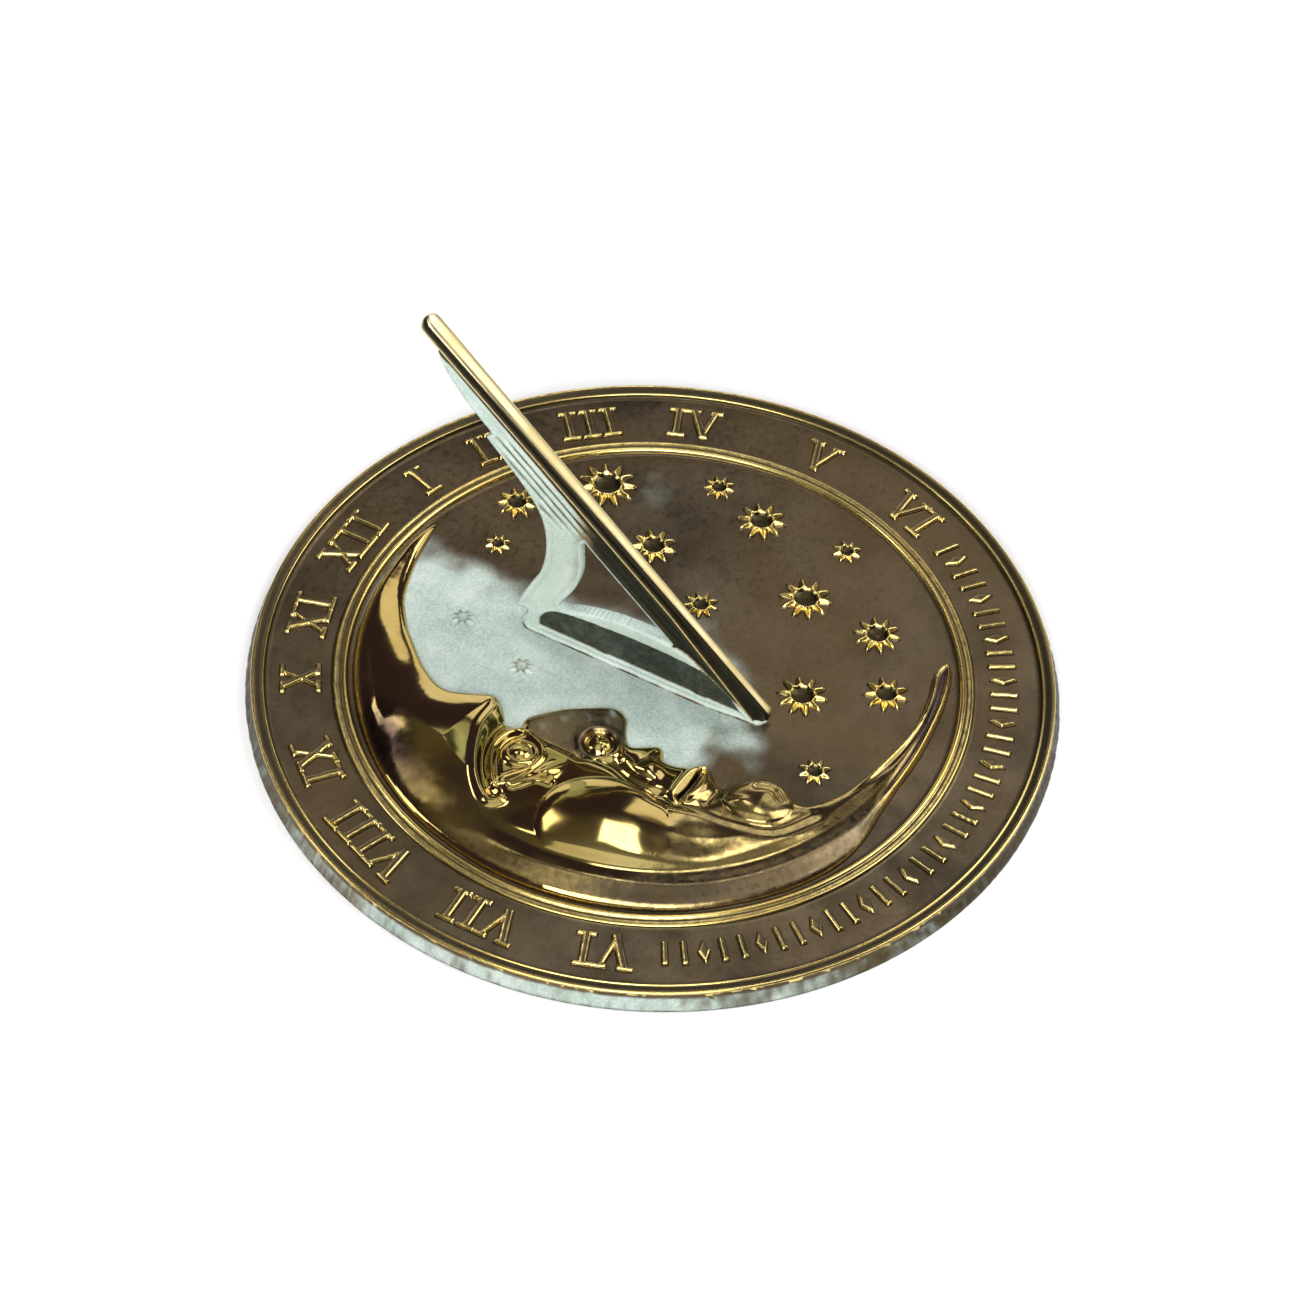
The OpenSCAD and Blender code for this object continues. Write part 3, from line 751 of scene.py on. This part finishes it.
def gnomon_distance(n, h):
    """Distance in from the outline of the web with its window, together with the wall."""
    web = np.minimum(outline_distance(n, h, WEB), -outline_distance(n, h, WINDOW))
    return np.maximum(web, outline_distance(n, h, WALL))


def snapped_grid(distance, low, high, grid):
    """Points and faces of a grid over the places inside an outline. The points beside the
    outline are moved onto it."""
    n, h = np.meshgrid(np.arange(low[0], high[0], grid), np.arange(low[1], high[1], grid))
    d = distance(n, h)
    keep = d > -0.5 * grid
    near = keep & (d < 0.45 * grid)
    eps = 0.02
    near_n, near_h = n[near], h[near]
    slope_n = (distance(near_n + eps, near_h) - distance(near_n - eps, near_h)) / (2 * eps)
    slope_h = (distance(near_n, near_h + eps) - distance(near_n, near_h - eps)) / (2 * eps)
    n[near] -= d[near] * slope_n
    h[near] -= d[near] * slope_h
    used, faces = grid_cells(keep)
    return n[used], h[used], faces


class Places:
    """Where points of the gnomon's side lie among the features that shape and colour it."""

    def __init__(self, n, h):
        self.n, self.h = n, h
        self.edge = np.clip(gnomon_distance(n, h), 0, None)
        self.panel = outline_distance(n, h, PANEL)
        self.window = -outline_distance(n, h, WINDOW)
        self.below = -((n - TOE[0]) * STYLE_UP[0] + (h - TOE[1]) * STYLE_UP[1])  # under the bar's top
        wall = outline_distance(n, h, WALL)
        self.on_wall = step(wall, -0.3, 0.3)
        self.in_panel = step(self.panel, -0.2, 0.5) * step(wall, 0, 0.3)
        self.strut = step(n, 24, 31) * step(h, 20, 24)
        leaf = step(h, 46, 56) * (1 - step(h, 76, 82))
        self.flutes = leaf * step(self.below, 8.5, 9.5) * step(self.edge, 0.9, 1.7)
        self.flute_wave = np.cos((self.below - 9) * 2 * pi / FLUTE_PITCH)


def half_thickness(p):
    """Half the casting's thickness: web and strut, then the base wall, then both together."""
    web = WEB_T / 2 - 0.35 + 0.35 * band(p.edge, 1.1, 0.75) - 0.25 * step(p.edge, 1.2, 3.0)
    web = web + 0.34 * p.flutes * p.flute_wave
    web = web + p.strut * (0.4 * band(p.window, 2.7, 0.6) - 0.5 * (1 - step(p.window, 1.6, 2.4)))
    web = web - 0.55 * band(p.below, 6.2, 1.1) + 0.3 * band(p.below, 8.6, 0.6)
    # The panel is shallower over the two screws.
    post = np.minimum(np.abs(p.n - SCREW_Y), np.abs(p.n + SCREW_Y))
    sunk = 0.8 * step(p.panel, -0.15, 0.45) * (0.45 + 0.55 * step(post, 1.6, 2.6))
    wall = BASE_T / 2 - sunk - 0.25 * (1 - step(p.edge, 0.0, 0.5))
    t = np.clip(web * (1 - p.on_wall) + wall * p.on_wall, 0.9, BASE_T / 2)
    return np.minimum(t + 0.03 * unevenness(p.n, p.h, 4, 41), BASE_T / 2)


def web_masks(p):
    """Where the web, the strut and the base wall are bare, green or dark. Part of the dark is painted
    shade: under the bar, along the window's edge on the strut, inside the raised border, along the very
    outline and round the panel.
    """
    web = 1 - p.on_wall
    below_bar = web * (p.below > 9)
    groove_shade = (1 - step(p.below, 7.0, 8.2)) * web
    lower_web = (1 - step(p.n, 20, 34)) * web * step(p.edge, 0.7, 1.3)
    low_flute = p.flutes * step(-p.flute_wave, -0.1, 0.9)
    dark = np.maximum.reduce([
        # painted shade in the groove under the bar
        groove_shade,
        0.95 * lower_web,
        0.95 * low_flute,
        0.85 * p.in_panel,
        0.8 * (1 - step(p.h, 0.0, 0.9)),  # the foot
        # painted shade on the strut along the window's edge
        0.5 * p.strut * (1 - step(p.window, 0.4, 1.8)),
        0.42 * band(p.edge, 2.3, 0.9) * web * (p.below > 10),  # painted shade inside the raised border
        0.6 * (1 - step(p.edge, 0.1, 0.8)) * below_bar,  # painted shade along the very outline
        0.35 * band(p.panel, -0.7, 0.4) * p.on_wall,  # painted shade round the panel
        0.4 * np.clip(unevenness(p.n, p.h, 9, 42), 0, 1) * below_bar,
    ])
    verd = 0.92 - 0.9 * groove_shade - 0.6 * p.in_panel - 0.4 * low_flute - 0.85 * lower_web
    # Polish along the very edge, which also stands in for a thin highlight there: a painted highlight.
    polish_and_highlight = 0.35 * band(p.edge, 0, 0.5) * web
    return {"wear": polish_and_highlight, "verd": np.clip(verd, 0, 1), "dark": np.clip(dark, 0, 1)}


def gnomon_plate():
    """The web, the strut and the base wall: two mirrored sheets joined round their edges."""
    n, h, faces = snapped_grid(gnomon_distance, (-40, -0.5), (88, 112), 0.42)
    places = Places(n, h)
    t = half_thickness(places)
    count = len(n)
    east = [tuple(f) for f in faces.tolist()]
    west = [tuple(v + count for v in reversed(f)) for f in east]
    sides = [(b, a, a + count, b + count) for a, b in rim_edges(faces)]
    verts = np.vstack([np.stack([x, n, h + FIELD_Z], 1) for x in (t, -t)])
    masks = {key: np.tile(values, 2) for key, values in web_masks(places).items()}
    return make_piece("gnomon_web", verts, east + west + sides, GNOMON, masks)


def foot_lip():
    """The low lip round the foot of the base wall, with a dark seam where it meets the plate."""
    full = BASE_T / 2 + FOOT_LIP_W
    places, shares = zip(*FOOT_LIP_ENDS)
    south, north = places[0], places[-1]
    base = 0.12
    shoulder = 0.8

    def distance(px, py):
        along = np.clip(py, south, north)
        return full * np.interp(along, places, shares) - np.hypot(px, py - along)

    def height(px, py):
        inward = 1 - np.clip(distance(px, py), 0, shoulder) / shoulder
        rise = np.sqrt(np.clip(1 - inward**2, 0, 1))
        return FIELD_Z + base + (FOOT_LIP_H - base) * rise + 0.04 * unevenness(px, py, 3, 51)

    low, high = (-full - 1, south - full), (full + 1, north + full + 1)
    verts, faces = relief(height, distance, 0.7, low, high, 0.25, 0.0)
    x, y = verts[:, 0], verts[:, 1]
    seam = 1 - step(distance(x, y), -0.5, 0.5)
    seam = seam * np.clip(0.65 + 0.5 * unevenness(x, y, 7, 52), 0, 1)
    masks = {"wear": np.zeros(len(verts)), "verd": np.clip(1 - 0.9 * seam, 0, 1), "dark": 0.85 * seam}
    return make_piece("gnomon_foot_lip", verts, faces, GNOMON, masks)


# ---- style bar
def bar_section(width, depth):
    """Half of the bar's cross-section, as (across, up), from the middle of its top down."""
    w = width / 2
    return [
        (0.0, 0.0), (w * 0.3, -0.03), (w * 0.52, -0.1), (w * 0.7, -0.24), (w * 0.85, -0.46),
        (w - 0.04, -0.85), (w - 0.14, -1.4), (w - 0.42, -2.1), (w - 0.48, -depth + 1.6),
        (w - 0.25, -depth + 1.2), (w + 0.1, -depth + 1.0), (w + 0.3, -depth + 0.75),
        (w + 0.33, -depth + 0.45), (w + 0.2, -depth + 0.18), (w - 0.1, -depth + 0.02),
        (w * 0.5, -depth), (0.0, -depth),
    ]


def bar_width(s):
    """Full width of the bar at distance s from its toe: a long taper with a round tip."""
    if s > STYLE_LEN - TIP_R:
        return 2 * sqrt(max(TIP_R**2 - (s - STYLE_LEN + TIP_R) ** 2, 0.0))
    return TOE_W + (2 * TIP_R - TOE_W) * s / (STYLE_LEN - TIP_R)


def style_ring(s):
    """The bar's whole cross-section at distance s from its toe, as (s, across, up)."""
    depth = min(BAR_DEPTH + (TOE_DEPTH - BAR_DEPTH) * max(1 - s / TOE_TAPER, 0), TOE_DEPTH)
    at_toe = 1 - float(step(np.array(s), -1.6, 1.0))
    at_tip = max(0.0, (s - STYLE_LEN + TIP_R) / TIP_R)
    width = max(bar_width(max(s, 0)), 0.3) * (1 - 0.28 * at_toe**2)
    drop = 1.7 * at_toe**1.6 + 0.5 * at_tip**4
    half = [(x, min(u, 0) - drop * (1 + u / depth)) for x, u in bar_section(width, depth - 1.3 * at_tip**3)]
    return [(s, x, u) for x, u in half + [(-x, u) for x, u in reversed(half[1:-1])]]


def style_masks(rings):
    """Where the bar is painted bright: a painted highlight on the part of its polished top that catches the
    light, and a painted highlight line along the edge of its lower lip. The rest is painted dark
    reflection.
    """
    s, x, up = rings.reshape(-1, 3).T
    size = rings.shape[1]
    depth = np.repeat(-rings[:, :, 2].min(1), size)
    wide = np.repeat(np.abs(rings[:, :, 1]).max(1), size)
    # The painted highlight covers the east part of the top, and more and more of it towards the tip.
    start = -0.4 - 0.5 * (np.clip(s, 0, None) / STYLE_LEN) ** 1.5
    top = (1 - step(-up, 0.7, 1.1)) * step(x / wide, start - 0.12, start + 0.12)
    # A painted highlight line along the edge of the lower lip.
    lip = band(-up - depth, -0.6, 0.35) * (np.abs(x) > wide - 0.25)
    wear = np.clip(np.maximum(top, 0.85 * lip) * step(s, -1.2, 1.0), 0, 1)
    return {"wear": wear, "verd": np.zeros(len(wear)), "dark": 1 - wear}


def style_bar():
    straight = STYLE_LEN - TIP_R
    stations = [-1.5, -1.35, -1.0, -0.4, 0.3, 1.2, *np.arange(2.5, straight, 2.0)]
    stations += [straight + TIP_R * sin(a) for a in np.radians(np.linspace(8, 86, 12))]
    rings = np.array([style_ring(s) for s in stations])
    s, x, up = rings.reshape(-1, 3).T
    place = np.array(TOE) + s[:, None] * STYLE_ALONG + up[:, None] * STYLE_UP
    verts = np.stack([x, place[:, 0], np.clip(place[:, 1], 0, None) + FIELD_Z], 1)
    count, size = rings.shape[:2]
    faces = [(i + j, i + (j + 1) % size, i + size + (j + 1) % size, i + size + j)
             for i in range(0, (count - 1) * size, size) for j in range(size)]
    return make_piece("style_bar", verts, faces, GNOMON, style_masks(rings))


# ---- materials
class Shader:
    """Short calls for building a node material."""

    def __init__(self, name):
        self.material = bpy.data.materials.new(name)
        self.material.use_nodes = True
        self.nodes = self.material.node_tree.nodes
        self.links = self.material.node_tree.links
        self.nodes.clear()
        out = self.nodes.new("ShaderNodeOutputMaterial")
        self.surface = self.nodes.new("ShaderNodeBsdfPrincipled")
        self.links.new(self.surface.outputs[0], out.inputs["Surface"])
        self.place = self.nodes.new("ShaderNodeTexCoord").outputs["Object"]

    def put(self, socket, value):
        """Sets a socket to a number or a colour, or links another node's output to it."""
        if isinstance(value, (int, float)):
            socket.default_value = value
        elif isinstance(value, tuple):
            socket.default_value = (*value, 1.0)[: len(socket.default_value)]
        else:
            self.links.new(value, socket)

    def node(self, kind, inputs, output=0, **settings):
        """Adds a node with these settings and inputs, and returns one of its outputs."""
        node = self.nodes.new(kind)
        for key, value in settings.items():
            setattr(node, key, value)
        for key, value in inputs.items():
            self.put(node.inputs[key], value)
        return node.outputs[output]

    def noise(self, per_metre, detail, rough):
        inputs = {"Scale": per_metre, "Detail": detail, "Roughness": rough, "Vector": self.place}
        return self.node("ShaderNodeTexNoise", inputs, "Fac")

    def mask(self, name):
        return self.node("ShaderNodeAttribute", {}, "Fac", attribute_name=name)

    def math(self, kind, a, b):
        return self.node("ShaderNodeMath", {0: a, 1: b}, operation=kind)

    def range(self, value, low, high, out_low=0.0, out_high=1.0):
        """A value stretched smoothly from low..high to out_low..out_high."""
        inputs = {"From Min": low, "From Max": high, "To Min": out_low, "To Max": out_high, "Value": value}
        return self.node("ShaderNodeMapRange", inputs, interpolation_type="SMOOTHSTEP")

    def mix(self, factor, a, b):
        """A colour between a and b."""
        return self.node("ShaderNodeMix", {0: factor, 6: a, 7: b}, 2, data_type="RGBA")

    def blend(self, factor, a, b):
        """A number between a and b."""
        return self.node("ShaderNodeMix", {0: factor, 2: a, 3: b})

    def ragged(self, mask, noise, amount):
        """A mask whose edges are broken up by a noise."""
        swing = self.math("MULTIPLY", self.math("SUBTRACT", noise, 0.5), amount)
        return self.math("ADD", self.mask(mask), swing)

    def bump(self, height, distance_mm, strength):
        inputs = {"Strength": strength, "Distance": distance_mm * MM, "Height": height}
        return self.node("ShaderNodeBump", inputs)

    def finish(self, **sockets):
        """Sets the surface's sockets by name, with _ for a space, and returns the material."""
        for key, value in sockets.items():
            self.put(self.surface.inputs[key.replace("_", " ")], value)
        return self.material


# Verdigris: its two main tones, then its tone in hollows and where shade is painted, in specks, and where
# it is chalky, which on the gnomon also stands in for light on its upright sides (painted light)
VERDIGRIS_TONES = (0.37, 0.48, 0.42), (0.57, 0.66, 0.60)
VERDIGRIS_DARK = (0.10, 0.15, 0.13)
VERDIGRIS_SPECKS = (0.66, 0.73, 0.68)
VERDIGRIS_CHALK = (0.70, 0.86, 0.79)


def shaded(colour, red, green=None, blue=None):
    """A colour with its three parts multiplied: by one number, or each by its own."""
    return colour[0] * red, colour[1] * (green or red), colour[2] * (blue or red)


def cast_brass(name, brown, gold, dark, polish, matt, grain_mm, chalk_and_light=0.0):
    """Antique cast brass. The piece's masks say where it is polished, tarnished green or dark, and where
    highlights and shade are painted. polish and matt are the roughness of the bare and the aged metal,
    chalk a share of chalky verdigris, which on the gnomon also stands in for light."""
    s = Shader(name)
    clouds = s.noise(38, 5, 0.6)
    grain = s.noise(420, 5, 0.65)
    fine = s.noise(1500, 3, 0.6)
    worn_and_lit = s.range(s.ragged("wear", grain, 0.7), 0.22, 0.72)
    # Aged metal: cloudy, with lighter drifting patches that also stand in for a soft sheen (painted sheen),
    # and dark in the grain
    base = s.mix(s.range(clouds, 0.34, 0.68), shaded(brown, 0.62), shaded(brown, 1.45))
    drift_and_sheen = s.range(s.noise(13, 4, 0.55), 0.35, 0.65, 0.0, 0.6)
    base = s.mix(drift_and_sheen, base, shaded(brown, 1.6, 1.45, 1.1))
    base = s.mix(s.range(grain, 0.45, 0.75, 0.0, 0.4), base, shaded(brown, 0.4))
    # Bare metal, also laid on as painted highlight, and what has gone dark, also laid on as painted shade
    # and dark reflection
    bright = s.mix(s.range(clouds, 0.3, 0.7), gold, shaded(gold, 0.85, 0.78, 0.6))
    metal = s.mix(worn_and_lit, base, bright)
    shade = s.range(s.ragged("dark", grain, 0.5), 0.2, 0.95, 0.0, 0.96)
    metal = s.mix(shade, metal, dark)
    dull = s.range(grain, 0.3, 0.7, matt - 0.08, matt + 0.1)
    rough = s.blend(worn_and_lit, dull, s.range(clouds, 0.3, 0.7, polish, polish * 1.7))
    # Verdigris over both
    green = s.range(s.ragged("verd", s.noise(120, 6, 0.7), 0.45), 0.12, 0.88)
    green = s.math("MULTIPLY", green, s.range(fine, 0.2, 0.6, 0.85, 1.0))
    green = s.math("POWER", green, 1.5)
    pale = s.mix(s.range(s.noise(70, 4, 0.6), 0.3, 0.7), *VERDIGRIS_TONES)
    pale = s.mix(s.range(s.mask("dark"), 0.1, 0.9, 0.0, 0.75), pale, VERDIGRIS_DARK)
    pale = s.mix(s.range(fine, 0.4, 0.8, 0.0, 0.6), pale, VERDIGRIS_SPECKS)
    pale = s.mix(chalk_and_light, pale, VERDIGRIS_CHALK)
    coarse = s.math("MULTIPLY", grain, s.blend(worn_and_lit, 1.0, 0.16))
    pits = s.math("ADD", coarse, s.math("MULTIPLY", fine, s.blend(worn_and_lit, 0.4, 0.04)))
    return s.finish(
        Base_Color=s.mix(green, metal, pale),
        Metallic=s.blend(green, 1.0, 0.1),
        Roughness=s.blend(green, rough, 0.6),
        Normal=s.bump(pits, grain_mm, 0.7),
    )


def plated_steel(name):
    s = Shader(name)
    clouds = s.noise(300, 5, 0.6)
    return s.finish(
        Base_Color=s.mix(s.range(clouds, 0.3, 0.7), (0.42, 0.42, 0.40), (0.62, 0.61, 0.58)),
        Metallic=1.0,
        Roughness=s.range(clouds, 0.3, 0.7, 0.28, 0.5),
        Normal=s.bump(s.noise(2500, 3, 0.6), 0.02, 0.5),
    )


def floor_paper(name):
    s = Shader(name)
    return s.finish(
        Base_Color=s.mix(s.noise(3, 3, 0.5), (0.93, 0.93, 0.92), (0.96, 0.96, 0.95)),
        Roughness=s.range(s.noise(60, 3, 0.5), 0.3, 0.7, 0.75, 0.9),
        Normal=s.bump(s.noise(700, 3, 0.5), 0.03, 0.3),
    )


def paint(piece, material):
    piece.data.materials.clear()
    piece.data.materials.append(material)


# ---- build
plate_brass = cast_brass(
    "plate_brass", brown=(0.118, 0.091, 0.057), gold=(0.84, 0.67, 0.25), dark=(0.05, 0.04, 0.02),
    polish=0.15, matt=0.40, grain_mm=0.08)
moon_brass = cast_brass(
    "moon_brass", brown=(0.15, 0.114, 0.068), gold=(0.56, 0.43, 0.16), dark=(0.06, 0.04, 0.035),
    polish=0.058, matt=0.3, grain_mm=0.04)
# The gnomon's verdigris is made chalkier than the plate's, which also stands in for the light on its
# upright sides: painted light.
gnomon_brass = cast_brass(
    "gnomon_brass", brown=(0.34, 0.28, 0.17), gold=(0.70, 0.58, 0.32), dark=(0.03, 0.035, 0.03),
    polish=0.2, matt=0.42, grain_mm=0.06, chalk_and_light=1 / 3)
# The style's dark tone is nearly black: on the bar it is laid on as a painted dark reflection.
style_brass = cast_brass(
    "style_brass", brown=(0.30, 0.24, 0.14), gold=(0.85, 0.74, 0.42), dark=(0.02, 0.018, 0.012),
    polish=0.3, matt=0.42, grain_mm=0.04)
steel = plated_steel("plated_steel")

paint(dial_casting(), plate_brass)
paint(moon(), moon_brass)
for number, (cx, cy, radius, rays) in enumerate(STARS, 1):
    paint(star(f"star_{number:02d}", cx, cy, radius, rays), plate_brass)
paint(numeral("numeral_noon_XII", "XII", 0), plate_brass)
for after, before, hour_angle in HOURS:
    paint(numeral(f"numeral_after_{after}", after, hour_angle), plate_brass)
    paint(numeral(f"numeral_before_{before}", before, -hour_angle), plate_brass)
paint(border_ornament(), plate_brass)
paint(gnomon_plate(), gnomon_brass)
paint(foot_lip(), gnomon_brass)
paint(style_bar(), style_brass)
for node in ("gnomon_screws", "spring_washers", "flat_washers"):
    paint(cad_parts[node], steel)


# ---- stage, light and camera
FLOOR_SIZE = 6.0

# The sky: its colours at the horizon and the zenith, and (sine of the elevation, colour) between
SKY_LOW = (0.22, 0.19, 0.14)
SKY_TOP = (0.55, 0.57, 0.58)
SKY_BANDS = [(0.22, (0.14, 0.12, 0.10)), (0.42, (0.06, 0.038, 0.08)), (0.80, (0.06, 0.042, 0.07)),
             (0.90, (0.17, 0.16, 0.13)), (0.96, (0.28, 0.28, 0.26))]
SKY_STRENGTH = 0.75

# Lights: name, azimuth (0 is south), elevation, distance, size and power
LIGHTS = [
    ("key", -70, 39, 1.9, (1.5, 1.1), 37),
    ("front_right", 48, 50, 1.9, (1.3, 1.0), 15),
    ("overhead", -75, 78, 1.9, (1.5, 1.1), 3.5),
    ("left", -150, 30, 2.0, (0.5, 1.0), 6),
    ("style_card", 40, 22, 2.0, (1.2, 0.8), 4.2),
    ("far_strip", 116, 17, 2.0, (2.2, 0.8), 6.4),
    ("upper_strip", 97, 40, 2.0, (0.45, 0.49), 0.9),
    ("window_low", 106, 66, 1.9, (0.4, 0.46), 2.6),
    ("window_high", 150, 53, 1.9, (0.24, 0.34), 1.05),
]

CAMERA_ANGLES = (-63.5, 48.604, 3.2116)  # turn, tilt and roll
CAMERA_DISTANCE = 1.3
CAMERA_LENS = 111.4
CAMERA_AIM = (-0.0014, 0.0062)  # across and up in the picture, from the middle of the rim


def floor():
    mesh = bpy.data.meshes.new("floor")
    corners = [(x * FLOOR_SIZE, y * FLOOR_SIZE, 0) for x, y in ((-1, -1), (1, -1), (1, 1), (-1, 1))]
    mesh.from_pydata(corners, [], [(0, 1, 2, 3)])
    plane = bpy.data.objects.new("floor", mesh)
    bpy.context.collection.objects.link(plane)
    paint(plane, floor_paper("floor_paper"))


def direction(turn, tilt):
    """The way from the dial to something at these angles, in radians: turn 0 is south."""
    return Vector((sin(turn) * cos(tilt), -cos(turn) * cos(tilt), sin(tilt)))


def area_light(name, azimuth, elevation, distance, size, power):
    """A soft rectangular light aimed at the dial."""
    place = direction(radians(azimuth), radians(elevation)) * distance
    data = bpy.data.lights.new(name, "AREA")
    data.shape = "RECTANGLE"
    data.size, data.size_y = size
    data.energy = power
    light = bpy.data.objects.new(name, data)
    light.location = place
    light.rotation_mode = "QUATERNION"
    light.rotation_quaternion = (-place).to_track_quat("-Z", "Y")
    bpy.context.collection.objects.link(light)


def sky():
    world = bpy.data.worlds.new("studio")
    bpy.context.scene.world = world
    world.use_nodes = True
    nodes, links = world.node_tree.nodes, world.node_tree.links
    background = nodes["Background"]
    coords = nodes.new("ShaderNodeTexCoord")
    split = nodes.new("ShaderNodeSeparateXYZ")
    ramp = nodes.new("ShaderNodeValToRGB")
    links.new(coords.outputs["Generated"], split.inputs[0])
    links.new(split.outputs["Z"], ramp.inputs[0])
    links.new(ramp.outputs[0], background.inputs[0])
    stops = ramp.color_ramp.elements
    stops[0].position, stops[0].color = 0.0, (*SKY_LOW, 1)
    stops[1].position, stops[1].color = 1.0, (*SKY_TOP, 1)
    for position, colour in SKY_BANDS:
        stops.new(position).color = (*colour, 1)
    background.inputs[1].default_value = SKY_STRENGTH


def camera():
    """The camera of the picture: turned, tilted and slightly rolled, aimed near the rim's middle."""
    turn, tilt, roll = (radians(v) for v in CAMERA_ANGLES)
    back = direction(turn, tilt)
    right = Vector((cos(turn), sin(turn), 0))
    up = back.cross(right)
    across = right * cos(roll) + up * sin(roll)
    upright = up * cos(roll) - right * sin(roll)
    aim = Vector((0, 0, RIM_Z * MM)) + across * CAMERA_AIM[0] + upright * CAMERA_AIM[1]
    data = bpy.data.cameras.new("camera")
    data.lens = CAMERA_LENS
    cam = bpy.data.objects.new("camera", data)
    axes = Matrix((across, upright, back)).transposed().to_4x4()
    cam.matrix_world = Matrix.Translation(aim + back * CAMERA_DISTANCE) @ axes
    bpy.context.collection.objects.link(cam)
    bpy.context.scene.camera = cam
    bpy.context.view_layer.update()


floor()
sky()
for light in LIGHTS:
    area_light(*light)
bpy.context.scene.view_settings.view_transform = "Standard"
camera()
